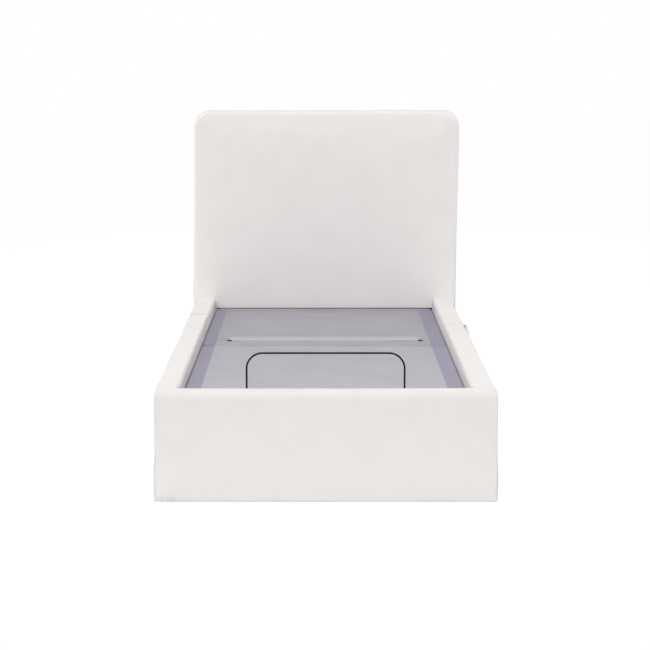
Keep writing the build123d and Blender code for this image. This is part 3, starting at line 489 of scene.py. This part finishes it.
def stuffed(piece, held, pressure, cap):
    """Blows the cover up from inside, with some points held, and caps how far a point goes."""
    rest = points_of(piece)
    group = piece.vertex_groups.new(name="held")
    group.add([int(index) for index in np.flatnonzero(held(rest))], 1.0, "REPLACE")
    cloth = piece.modifiers.new("cloth", "CLOTH")
    cloth.settings.vertex_group_mass = group.name
    cloth.settings.quality = 5
    cloth.settings.tension_stiffness = 40
    cloth.settings.compression_stiffness = 40
    cloth.settings.shear_stiffness = 20
    cloth.settings.bending_stiffness = 2
    cloth.settings.use_pressure = True
    cloth.settings.uniform_pressure_force = pressure
    cloth.settings.effector_weights.gravity = 0
    cloth.collision_settings.use_self_collision = False
    cloth.point_cache.frame_end = stuffing_frames
    for step in range(1, stuffing_frames + 1):
        bpy.context.scene.frame_set(step)
    applied(piece)
    bpy.context.scene.frame_set(1)
    moved = points_of(piece)
    travel = moved - rest
    length = np.linalg.norm(travel, axis=1, keepdims=True)
    move_points(piece, rest + travel * np.minimum(1.0, cap / np.maximum(length, 1e-9)))
    print(piece.name, "swelled up to", round(float(length.max()) / mm, 1), "mm, capped at",
          round(cap / mm, 1))
    return piece


def rounded_off(piece):
    """One level of subdivision, put into the mesh."""
    subdivision = piece.modifiers.new("subdivision", "SUBSURF")
    subdivision.levels = 1
    subdivision.render_levels = 1
    return applied(piece)


# %% Fit, uneven cloth, creases and contact faces
def fitted(piece, low, high):
    """Brings the rounded piece back to its size: each side's middle plane goes to the limit."""
    points = points_of(piece)
    normals = np.array([vertex.normal for vertex in piece.data.vertices])
    for axis in range(3):
        below = np.median(points[normals[:, axis] < -0.95, axis])
        above = np.median(points[normals[:, axis] > 0.95, axis])
        share = (points[:, axis] - below) / (above - below)
        points[:, axis] = low[axis] + share * (high[axis] - low[axis])
    move_points(piece, points)


def uneven(piece, size, depth, seed):
    """Lets the cloth wander in and out a little, as hand-pulled cloth does."""
    points = points_of(piece)
    normals = np.array([vertex.normal for vertex in piece.data.vertices])
    shift = Vector((seed, seed * 0.37, -seed * 0.61))
    waves = np.array([noise.noise(Vector(point) / size + shift) for point in points])
    move_points(piece, points + normals * waves[:, None] * depth)


def creased(piece, distance, depth, width, mask=None, dark=1.0):
    """Draws the cloth in along a line and stores painted shade for it: distance gives each point's
    distance from that line, and dark sets how much painted shade the line gets.
    """
    points = points_of(piece)
    normals = np.array([vertex.normal for vertex in piece.data.vertices])
    pull = np.exp(-(distance(points) / width) ** 2)
    if mask is not None:
        pull = pull * mask(points)
    move_points(piece, points - normals * (depth * pull)[:, None])
    layer = piece.data.attributes.get("crease")
    if layer is None:
        layer = piece.data.attributes.new("crease", "FLOAT", "POINT")
    before = np.zeros(len(points), np.float32)
    layer.data.foreach_get("value", before)
    layer.data.foreach_set("value", np.maximum(before, pull * dark).astype(np.float32))


def kept_between(piece, axis, low=None, high=None):
    """Keeps the piece flat where it meets something."""
    points = points_of(piece)
    points[:, axis] = np.clip(points[:, axis], low, high)
    move_points(piece, points)


def finer_rows(piece, axis, places):
    """Adds rows to a finished mesh, where a crease needs them."""
    mesh = bmesh.new()
    mesh.from_mesh(piece.data)
    cut_rows(mesh, axis, places)
    mesh.to_mesh(piece.data)
    mesh.free()


crease_steps = [step * mm for step in (-9, -6, -4, -2.5, -1.2, 0, 1.2, 2.5, 4, 6, 9)]
print("a crease has", len(crease_steps), "rows")

# %% [markdown]
# ## Foot panel
# The panel is wider than the rails are apart, and it hides their ends. Its cloth is pulled
# over the top in a soft roll and tucked under the bottom edge, where it is rucked at one corner.

# %% Foot panel
panel_swell = 2 * mm
panel_edge = 6 * mm
panel_roll = 20 * mm
under_edge = 2.5 * mm
edge_support = 5 * mm
tuck = 3 * mm


def panel_mesh(node, edge, roll, rolled_side, shrink_low, shrink_high):
    """A board-shaped cover: one fat roll where two sides meet, and tighter edges elsewhere."""
    low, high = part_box(node)
    low, high = low + Vector(shrink_low), high - Vector(shrink_high)
    mesh = block(low, high)
    corner = [low[k] if rolled_side[k] < 0 else high[k] for k in range(3)]
    on_roll = lambda v: all(abs(v.co[k] - corner[k]) < 0.1 * mm for k in range(3) if rolled_side[k])
    soften(mesh, [e for e in mesh.edges if all(on_roll(v) for v in e.verts)], roll, 6)
    on_floor = lambda e: all(v.co.z < low.z + 0.1 * mm for v in e.verts)
    sharp = [e for e in mesh.edges if e.calc_face_angle(0.0) > math.radians(60)]
    soften(mesh, [e for e in sharp if not on_floor(e)], edge, 4)
    soften(mesh, [e for e in mesh.edges if on_floor(e)], under_edge, 2)
    for axis in range(3):
        near = roll if rolled_side[axis] < 0 else under_edge if axis == 2 else edge
        far = roll if rolled_side[axis] > 0 else edge
        first, last = low[axis] + near + edge_support, high[axis] - far - edge_support
        cut_rows(mesh, axis, [first] + spaced(first, last) + [last])
    return mesh


foot_low, foot_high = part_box("foot_panel_cover")
mesh = panel_mesh("foot_panel_cover", panel_edge, panel_roll, (0, -1, 1),
                  (panel_swell, panel_swell, 0), (panel_swell, panel_swell / 2, panel_swell))
foot_panel = piece_from(mesh, "foot_panel_upholstery", cover_fabric)
stuffed(foot_panel, lambda p: p[:, 2] < foot_low.z + 3 * mm, 1.2, 3 * mm)
rounded_off(foot_panel)
foot_low = foot_low - Vector((0, 0, tuck))
slack_left, slack_right = Vector((2.5 * mm, 0, 0)), Vector((1 * mm, 0, 0))
fitted(foot_panel, foot_low + slack_left, foot_high - slack_right)
uneven(foot_panel, 0.22, 1.0 * mm, 3.1)

ruck_right = foot_low.x + 0.085
finer_rows(foot_panel, 0, spaced(foot_low.x + 4 * mm, ruck_right, 4 * mm))
finer_rows(foot_panel, 2, spaced(foot_low.z, foot_low.z + 30 * mm, 4 * mm))


def ruck_mask(points):
    near = np.clip((ruck_right - points[:, 0]) / 0.03, 0, 1)
    low_down = np.clip((foot_low.z + 28 * mm - points[:, 2]) / (22 * mm), 0, 1)
    front = (points[:, 1] < foot_low.y + 25 * mm).astype(float)
    return near * low_down * front


def ruck_lines(points):
    """Folds that run up from the tucked edge, a little slanted and uneven."""
    run = points[:, 0] + 0.35 * points[:, 2] + 3 * mm * np.sin(points[:, 0] * 260)
    return (np.mod(run, 17 * mm) - 8.5 * mm)


# The ruck's folds get a little painted shade.
creased(foot_panel, ruck_lines, 2.6 * mm, 3.4 * mm, ruck_mask, dark=0.15)
kept_between(foot_panel, 1, high=foot_high.y)
kept_between(foot_panel, 2, low=foot_low.z)
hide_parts("foot_panel_cover")
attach(foot_panel, "base")
print("foot panel faces", len(foot_panel.data.polygons))

# %% [markdown]
# ## Side rails
# Each rail is one long padded board. The left one has a seam across it, where the cover is in
# two lengths, and a slack fold below the seam. The right one is nipped by the handset's strap.

# %% Side rails
rail_edge = 6 * mm
rail_roll = 9 * mm
rail_swell = 2 * mm
inner_bulge = {"left": 0.5 * mm, "right": 5 * mm}
end_dip = {"left": 4 * mm, "right": 8 * mm}
deck_clearance = 2 * mm
belly = {"left": (3 * mm, 6 * mm, 9 * mm), "right": (0, 5 * mm, 2 * mm)}
belly_start, belly_width, belly_height = 25 * mm, 35 * mm, 0.6
strap_reach = 55 * mm
dip_reach, dip_depth = 55 * mm, 80 * mm
seam_y = {"left": 0.531, "right": 0.255}
seam_depth = {"left": 3 * mm, "right": 1.2 * mm}
seam_width = {"left": 6 * mm, "right": 8 * mm}
# How much painted shade each rail's seam gets.
seam_dark = {"left": 0.9, "right": 0.15}
rail_low, rail_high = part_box("right_rail_cover")
deck_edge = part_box("head_pad")[1].x
strap_y = sum(corner.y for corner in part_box("handset_holder")) / 2
fold_start, fold_end = 0.17, 0.47
fold_below_top, fold_climb = 6 * mm, 34 * mm


def over_top(points):
    """1 on the upper part of a rail, fading out above the deck's height on its inner face."""
    inner = np.clip((np.abs(points[:, 0]) - rail_low.x) / (25 * mm), 0.15, 1)
    return inner * np.clip((points[:, 2] - rail_high.z + 60 * mm) / (20 * mm), 0, 1)


def mid_top(points):
    """1 in the middle of a rail's top, and 0 near its edges."""
    middle = (rail_low.x + rail_high.x) / 2
    return np.clip(1.6 - np.abs(np.abs(points[:, 0]) - middle) / (14 * mm), 0, 1) * over_top(points)


def sunk_end(points, dip):
    """How far a rail's top sinks where it is pressed against the headboard."""
    near = np.clip((points[:, 1] - rail_high.y + dip_reach) / dip_reach, 0, 1)
    up = np.clip((points[:, 2] - rail_high.z + dip_depth) / dip_depth, 0, 1)
    return dip * near * near * up


def slack_fold(points):
    """How far a point lies above the slack fold, which climbs towards the headboard."""
    along = (points[:, 1] - fold_start) / (fold_end - fold_start)
    height = rail_high.z - fold_below_top - fold_climb * (1 - along)
    return points[:, 2] - height


def on_inner_face(points):
    inner = np.clip((rail_low.x + 16 * mm - np.abs(points[:, 0])) / (8 * mm), 0, 1)
    along = (points[:, 1] - fold_start) / (fold_end - fold_start)
    return inner * np.clip(along * 6, 0, 1) * np.clip((1 - along) * 6, 0, 1)


def outward(points, at_foot, at_middle, at_head):
    """How far the outer side sags outward: nothing at the floor or under the handset's strap."""
    outer = np.clip((np.abs(points[:, 0]) - rail_low.x - belly_start) / belly_width, 0, 1)
    along = np.clip((points[:, 1] - rail_low.y) / (rail_high.y - rail_low.y), 0, 1)
    up = np.clip(points[:, 2] / (rail_high.z * belly_height), 0, 1)
    free = 1 - np.exp(-((points[:, 1] - strap_y) / strap_reach) ** 4) * (points[:, 0] > 0)
    return outer * up * free * np.interp(along, (0, 0.5, 1), (at_foot, at_middle, at_head))


def rail(side):
    node = f"{side}_rail_cover"
    low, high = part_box(node)
    inner_side = -1 if side == "right" else 1
    mesh = panel_mesh(node, rail_edge, rail_roll, (inner_side, 0, 1),
                      (rail_swell, 0, 0), (rail_swell, 0, rail_swell))
    piece = piece_from(mesh, f"{side}_rail_upholstery", cover_fabric)
    ends = lambda p: (p[:, 2] < low.z + 2 * mm) | (p[:, 1] < low.y + mm) | (p[:, 1] > high.y - mm)
    stuffed(piece, ends, 1.0, 4 * mm)
    rounded_off(piece)
    bulge = inner_bulge[side]
    inner_low = low - Vector((bulge if side == "right" else 0, 0, tuck))
    inner_high = high + Vector((bulge if side == "left" else 0, 0, 0))
    fitted(piece, inner_low, inner_high)
    uneven(piece, 0.16, 1.3 * mm, 5.7 if side == "left" else 9.2)
    points = points_of(piece)
    points[:, 0] -= inner_side * outward(points, *belly[side])
    points[:, 2] -= sunk_end(points, end_dip[side])
    move_points(piece, points)
    finer_rows(piece, 1, [seam_y[side] + step for step in crease_steps])
    across = lambda p: p[:, 1] - seam_y[side]
    reach = over_top if side == "left" else mid_top
    # The seam is drawn in and darkened with painted shade, strongly on the left rail and faintly on
    # the right.
    creased(piece, across, seam_depth[side], seam_width[side], reach, dark=seam_dark[side])
    if side == "left":
        fold_rows = spaced(fold_start, fold_end, 9 * mm)
        finer_rows(piece, 1, fold_rows)
        finer_rows(piece, 2, spaced(high.z - 60 * mm, high.z - 8 * mm, 4 * mm))
        # The slack fold on the inner face is darkened with painted shade too.
        creased(piece, slack_fold, 4 * mm, 6 * mm, on_inner_face, dark=0.55)
    kept_between(piece, 1, low.y, high.y)
    kept_between(piece, 2, low=low.z - tuck)
    deck_side = deck_edge + deck_clearance
    kept_between(piece, 0, *((deck_side, None) if side == "right" else (None, -deck_side)))
    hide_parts(node)
    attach(piece, "base")
    print(node, "faces", len(piece.data.polygons))


for side in ("left", "right"):
    rail(side)

# %% [markdown]
# ## Headboard
# A thick slab of foam with round shoulders. The shoulders are cut first, then the whole front
# edge is rounded in one bevel, so that the roll runs on over the shoulders.

# %% Headboard
shoulder = 72 * mm
front_roll = 18 * mm
head_low, head_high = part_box("headboard_pad")
headboard_swell = 4 * mm
lean = 0.0115


def headboard_mesh():
    low = head_low + Vector((headboard_swell, headboard_swell, 0))
    high = head_high - Vector((headboard_swell, 0, headboard_swell))
    mesh = block(low, high)
    on_top = [e for e in mesh.edges if all(v.co.z > high.z - mm for v in e.verts)
              and abs(e.verts[0].co.y - e.verts[1].co.y) > mm]
    soften(mesh, on_top, shoulder, 10)
    front = [e for e in mesh.edges if all(v.co.y < low.y + mm for v in e.verts)
             and not all(v.co.z < low.z + mm for v in e.verts)]
    soften(mesh, front, front_roll, 6)
    cut_rows(mesh, 0, spaced(low.x + front_roll, high.x - front_roll))
    cut_rows(mesh, 2, spaced(low.z, high.z - front_roll))
    cut_rows(mesh, 1, spaced(low.y + front_roll, high.y))
    return mesh


headboard = piece_from(headboard_mesh(), "headboard_upholstery", cover_fabric)
on_frame = lambda p: (p[:, 1] > head_high.y - mm) | (p[:, 2] < head_low.z + mm)
stuffed(headboard, on_frame, 0.8, 6 * mm)
rounded_off(headboard)
fitted(headboard, head_low, head_high - Vector((0, 0, 5 * mm)))
points = points_of(headboard)
points[:, 0] += 1 * mm + lean * (points[:, 2] - 0.3)
move_points(headboard, points)
uneven(headboard, 0.3, 1.2 * mm, 12.4)
kept_between(headboard, 1, high=head_high.y)
kept_between(headboard, 2, low=head_low.z)
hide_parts("headboard_pad")
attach(headboard, "base")
print("headboard faces", len(headboard.data.polygons))

# %% [markdown]
# ## Deck cover
# The cover is one cloth over thin wadding, on a deck that bends at two folds. The cover is made
# in two lengths: a head half over the head and seat sections, and a leg half over the thigh and
# foot sections, with extra rows where the knee is. A narrow welt joins them. The cover reaches a
# little past the deck on the left, where the photograph's gap beside it is narrower.

# %% Deck cover lengths
pad_edge = 3 * mm
deck_row = 22 * mm
wide_left = 4 * mm
deck_low, deck_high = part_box("head_pad")
seat_low, seat_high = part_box("seat_pad")
thigh_low, thigh_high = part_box("thigh_pad")
foot_pad_low, foot_pad_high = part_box("foot_pad")
button_low, button_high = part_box("deck_buttons")
button_x = button_high.x - (button_high.y - button_low.y) / 2
button_y = (button_low.y + button_high.y) / 2
bar_low, bar_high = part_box("retainer_bar")


def deck_length(name, low_y, high_y, corners_at=None, extra=()):
    """A thin closed pad as wide as the deck, cut into rows, with two round corners if asked."""
    low = Vector((deck_low.x - wide_left, low_y, deck_low.z))
    high = Vector((deck_high.x, high_y, deck_high.z))
    mesh = block(low, high)
    if corners_at is not None:
        upright = [e for e in mesh.edges if all(abs(v.co.y - corners_at) < mm for v in e.verts)
                   and abs(e.verts[0].co.z - e.verts[1].co.z) > mm]
        soften(mesh, upright, deck_corner, 6)
    rims = [e for e in mesh.edges if abs(e.verts[0].co.z - e.verts[1].co.z) < mm]
    soften(mesh, rims, pad_edge, 3)
    cut_rows(mesh, 0, spaced(low.x + pad_edge, high.x - pad_edge, deck_row))
    cut_rows(mesh, 1, spaced(low.y + pad_edge, high.y - pad_edge, deck_row))
    for axis, place in extra:
        cut_rows(mesh, axis, [place])
    return piece_from(mesh, name, deck_fabric)


def remember_flat(piece):
    """Stores each point's place on the flat deck, for the cloth's pattern."""
    places = piece.data.attributes.new("flat_place", "FLOAT_VECTOR", "POINT")
    places.data.foreach_set("vector", points_of(piece).astype(np.float32).ravel())


deck_corner = 38 * mm
print("deck cover is", round((deck_high.z - deck_low.z) / mm), "mm thick")

# %% Head half
strip_low_y = seat_high.y
strip_high_y = deck_low.y
strip_drop = 8 * mm
strip_end = 0.358
step_rows = [strip_low_y + step * mm for step in (-6, -3, -1, 0, 1, 2, 4, 7, 12)]
end_rows = [side * (strip_end + step * mm) for side in (-1, 1) for step in (-12, -8, -4, 0, 4, 8)]


def top_only(points):
    return np.clip((points[:, 2] - deck_low.z - 8 * mm) / (8 * mm), 0, 1)


def strip_ends(points):
    """1 along the strip, easing to 0 at each end of it."""
    ends = np.clip((strip_end + 4 * mm - np.abs(points[:, 0])) / (14 * mm), 0, 1)
    return ends * ends * (3 - 2 * ends) * top_only(points)


def strip_profile(points):
    """How far the cover dips in the strip: a slope from the head's edge, then a short step up."""
    along = (strip_high_y - points[:, 1]) / (strip_high_y - strip_low_y)
    slope = np.clip(along, 0, 1)
    step_up = np.clip((points[:, 1] - (strip_low_y - 1 * mm)) / (2.5 * mm), 0, 1)
    return strip_drop * slope * step_up * strip_ends(points)


head_half = deck_length("head_half_cover", seat_low.y, deck_high.y, corners_at=deck_high.y,
                        extra=[(1, y) for y in step_rows] + [(0, x) for x in end_rows])
stuffed(head_half, lambda p: p[:, 2] < deck_low.z + mm, 0.6, 1.2 * mm)
rounded_off(head_half)
uneven(head_half, 0.2, 0.5 * mm, 2.2)
points = points_of(head_half)
points[:, 2] -= strip_profile(points) * top_only(points)
move_points(head_half, points)
# The cover dimples round each button, with painted shade in the dimple.
for side in (-1, 1):
    from_button = lambda p: np.hypot(p[:, 0] - side * button_x, p[:, 1] - button_y)
    creased(head_half, from_button, 2.5 * mm, 14 * mm, top_only, dark=0.35)
# The strip's step gets a thin line of painted shade.
from_step = lambda p: p[:, 1] - (strip_low_y - 3 * mm)
creased(head_half, from_step, 1 * mm, 3 * mm, strip_ends, dark=0.3)
kept_between(head_half, 2, low=deck_low.z)
remember_flat(head_half)
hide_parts("head_pad", "seat_pad")
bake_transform(head_half)
print("head half faces", len(head_half.data.polygons))

# %% Leg half
knee_y = (thigh_low.y + foot_pad_high.y) / 2
knee_reach = 60 * mm
knee_rows = spaced(knee_y - knee_reach, knee_y + knee_reach, 8 * mm)
eyelet_rows = [step * mm for step in (-14, -10, -7, -4, 0, 4, 7, 10, 14)]
bar_x = bar_high.x - (bar_high.y - bar_low.y) / 2
bar_y = (bar_low.y + bar_high.y) / 2
leg_rows = [(1, y) for y in knee_rows] + [(1, bar_y + step) for step in eyelet_rows]
leg_rows += [(0, side * bar_x + step) for side in (-1, 1) for step in eyelet_rows]
leg_half = deck_length("leg_half_cover", foot_pad_low.y, thigh_high.y,
                       corners_at=foot_pad_low.y, extra=leg_rows)
stuffed(leg_half, lambda p: p[:, 2] < deck_low.z + mm, 0.6, 1.2 * mm)
rounded_off(leg_half)
uneven(leg_half, 0.2, 0.5 * mm, 7.9)
# The cover dips round each leg of the retainer bar, with painted shade in the dip.
for side in (-1, 1):
    from_bar = lambda p: np.hypot(p[:, 0] - side * bar_x, p[:, 1] - bar_y)
    creased(leg_half, from_bar, 2.5 * mm, 7 * mm, top_only, dark=0.7)
kept_between(leg_half, 2, low=deck_low.z)
remember_flat(leg_half)
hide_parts("thigh_pad", "foot_pad")
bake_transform(leg_half)
print("leg half faces", len(leg_half.data.polygons))

# %% [markdown]
# The halves meet over the thigh section's axis. There the cover is sewn with a welt: a narrow
# groove on the side of the seat, darkened with painted shade, and a low padded ridge on the side
# of the thighs.

# %% Welt between the halves
welt_drop = 6 * mm
welt_rise = 1.5 * mm
welt_middle = (thigh_high.y + seat_low.y) / 2
groove_y = welt_middle + 5 * mm
ridge_y = welt_middle - 9 * mm
# How strong the welt's painted shade is across the deck.
seam_dark_from, seam_dark_over, seam_dark_least = -0.39, 20 * mm, 0.5
welt_low = Vector((deck_low.x + 0.5 * mm, thigh_high.y - 0.5 * mm, deck_low.z + 8 * mm))
welt_high = Vector((deck_high.x - 0.5 * mm, seat_low.y + 0.5 * mm, deck_high.z - 1 * mm))
mesh = block(welt_low, welt_high)
cut_rows(mesh, 0, spaced(welt_low.x, welt_high.x, deck_row))
cut_rows(mesh, 1, spaced(welt_low.y, welt_high.y, 1.5 * mm))
cut_rows(mesh, 2, spaced(welt_low.z, welt_high.z, 6 * mm))
welt = piece_from(mesh, "seat_welt_cover", deck_fabric)
points = points_of(welt)
top = np.clip((points[:, 2] - welt_low.z - 5 * mm) / (6 * mm), 0, 1)
wander = 1 * mm * np.sin(points[:, 0] * 31) + 0.6 * mm * np.sin(points[:, 0] * 77 + 1)
groove = np.exp(-((points[:, 1] - groove_y - wander) / (5 * mm)) ** 2)
ridge = np.exp(-((points[:, 1] - ridge_y - wander) / (6 * mm)) ** 2)
points[:, 2] += top * (ridge * (welt_rise + 1 * mm) - groove * welt_drop)
move_points(welt, points)


def seam_strength(points):
    """The seam's painted shade is darkest on the left band and half as dark on the rest of the
    deck.
    """
    onto_band = (seam_dark_from - points[:, 0]) / seam_dark_over
    return np.clip(onto_band, seam_dark_least, 1)


# The groove's line only gets painted shade here: the pull's depth is zero.
creased(welt, lambda p: p[:, 1] - groove_y, 0.0, 8 * mm, seam_strength)
remember_flat(welt)
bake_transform(welt)
print("welt faces", len(welt.data.polygons))

# %% [markdown]
# Behind the deck, a thin black sheet stands on the headboard's face. It is painted shade: it
# makes the dark line in the gap and at the deck's round corners.

# %% Gap shade sheet
shade_sheet_thick = 1.5 * mm
shade_sheet_reach = 4 * mm
shade_sheet_bottom = 0.19
shade_sheet_low = Vector((deck_low.x - shade_sheet_reach, head_low.y - shade_sheet_thick, shade_sheet_bottom))
shade_sheet_high = Vector((deck_high.x + shade_sheet_reach, head_low.y, deck_high.z - 1 * mm))
mesh = block(shade_sheet_low, shade_sheet_high)
at_upper_edge = lambda v: v.co.z > shade_sheet_high.z - mm and v.co.y < shade_sheet_low.y + 0.1 * mm
upper_edge = [e for e in mesh.edges if all(at_upper_edge(v) for v in e.verts)]
soften(mesh, upper_edge, 1 * mm, 3)
cut_rows(mesh, 0, spaced(shade_sheet_low.x, shade_sheet_high.x, 60 * mm))
# A near-black matt finish: the sheet is painted shade.
shade_sheet_finish = grained("gap_painted_shade", srgb(22, 21, 23), 0.95, 1.4 * mm, 0.3 * mm)
shade_sheet = piece_from(mesh, "gap_shade_sheet", shade_sheet_finish)
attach(shade_sheet, "base")
print("lining faces", len(shade_sheet.data.polygons))

# %% [markdown]
# ## Floor and light
# The floor and the world are white. The camera sees a floor that glows a little, which hides
# its far edge and keeps a faint shadow under the bed. A broad, soft light comes from the front.
# Two lamps light the bed from its sides, a wide and a narrow one from above, and one from
# behind. The world gives the bed much less light than it shows the camera.

# %% Floor
floor_reach = 30.0
floor_glow, glow_share = 1.05, 0.9


def floor_finish():
    finish = Finish("floor_white", Roughness=0.8, Specular_IOR_Level=0.2)
    tone = finish.noise(finish.object_place(), 2.0)
    finish.colour(finish.mix(tone, (0.93, 0.93, 0.93, 1.0), (0.95, 0.95, 0.95, 1.0)))
    rays = finish.tree.nodes.new("ShaderNodeLightPath")
    seen = Signal(finish, rays.outputs["Is Camera Ray"])
    mirrored = Signal(finish, rays.outputs["Is Glossy Ray"])
    through = Signal(finish, rays.outputs["Is Transmission Ray"])
    glow = finish.node("Emission", {}, {"Color": (1.0, 1.0, 1.0, 1.0), "Strength": floor_glow})
    share = seen.larger(mirrored).larger(through) * glow_share
    matt = Signal(finish, finish.shader.outputs[0])
    mixed = finish.node("MixShader", {}, {0: share, 1: matt, 2: glow})
    finish.feed(finish.tree.nodes["Material Output"].inputs["Surface"], mixed)
    return finish.material


mesh = bmesh.new()
bmesh.ops.create_grid(mesh, x_segments=1, y_segments=1, size=floor_reach)
floor = piece_from(mesh, "floor", floor_finish())

# %% World and lamps
fill_light = 0.23
world = bpy.data.worlds.new("studio")
world.use_nodes = True
backdrop = world.node_tree.nodes["Background"]
backdrop.inputs["Color"].default_value = (1.0, 1.0, 1.0, 1.0)
world_tree = world.node_tree
paths = world_tree.nodes.new("ShaderNodeLightPath")
strongest = world_tree.nodes.new("ShaderNodeMath")
strongest.operation = "MAXIMUM"
world_tree.links.new(paths.outputs["Is Camera Ray"], strongest.inputs[0])
world_tree.links.new(paths.outputs["Is Glossy Ray"], strongest.inputs[1])
level = world_tree.nodes.new("ShaderNodeMapRange")
level.inputs["To Min"].default_value = fill_light
level.inputs["To Max"].default_value = 1.0
world_tree.links.new(strongest.outputs[0], level.inputs["Value"])
world_tree.links.new(level.outputs[0], backdrop.inputs["Strength"])
bpy.context.scene.world = world


def lamp(name, kind, place, target, energy, width=3.0, spread=180):
    light = bpy.data.lights.new(name, kind)
    light.energy = energy
    if kind == "SUN":
        light.angle = math.radians(24)
    else:
        light.shape = "RECTANGLE"
        light.size, light.size_y = width, 2.0
        light.spread = math.radians(spread)
    lit = bpy.data.objects.new(name, light)
    lit.location = place
    lit.rotation_euler = (Vector(target) - Vector(place)).to_track_quat("-Z", "Y").to_euler()
    bpy.context.scene.collection.objects.link(lit)
    return lit


bed_middle = (0, 0, 0.3)
lamp("front_light", "SUN", (-0.6, -9.0, 3.7), bed_middle, 1.43)
lamp("left_lamp", "AREA", (-4.4, 1.9, 2.4), bed_middle, 60, width=1.4)
lamp("right_lamp", "AREA", (4.4, 1.9, 2.4), bed_middle, 44, width=1.4)
lamp("top_lamp", "AREA", (0.0, -0.1, 4.6), (0, -0.6, 0.3), 71)
lamp("foot_lamp", "AREA", (0.0, -1.4, 4.6), (0, -1.3, 0.3), 7.5, spread=60)
lamp("back_lamp", "AREA", (0.5, 7.0, 2.5), (0, 1.0, 0.6), 40)

bpy.context.scene.view_settings.view_transform = "Standard"
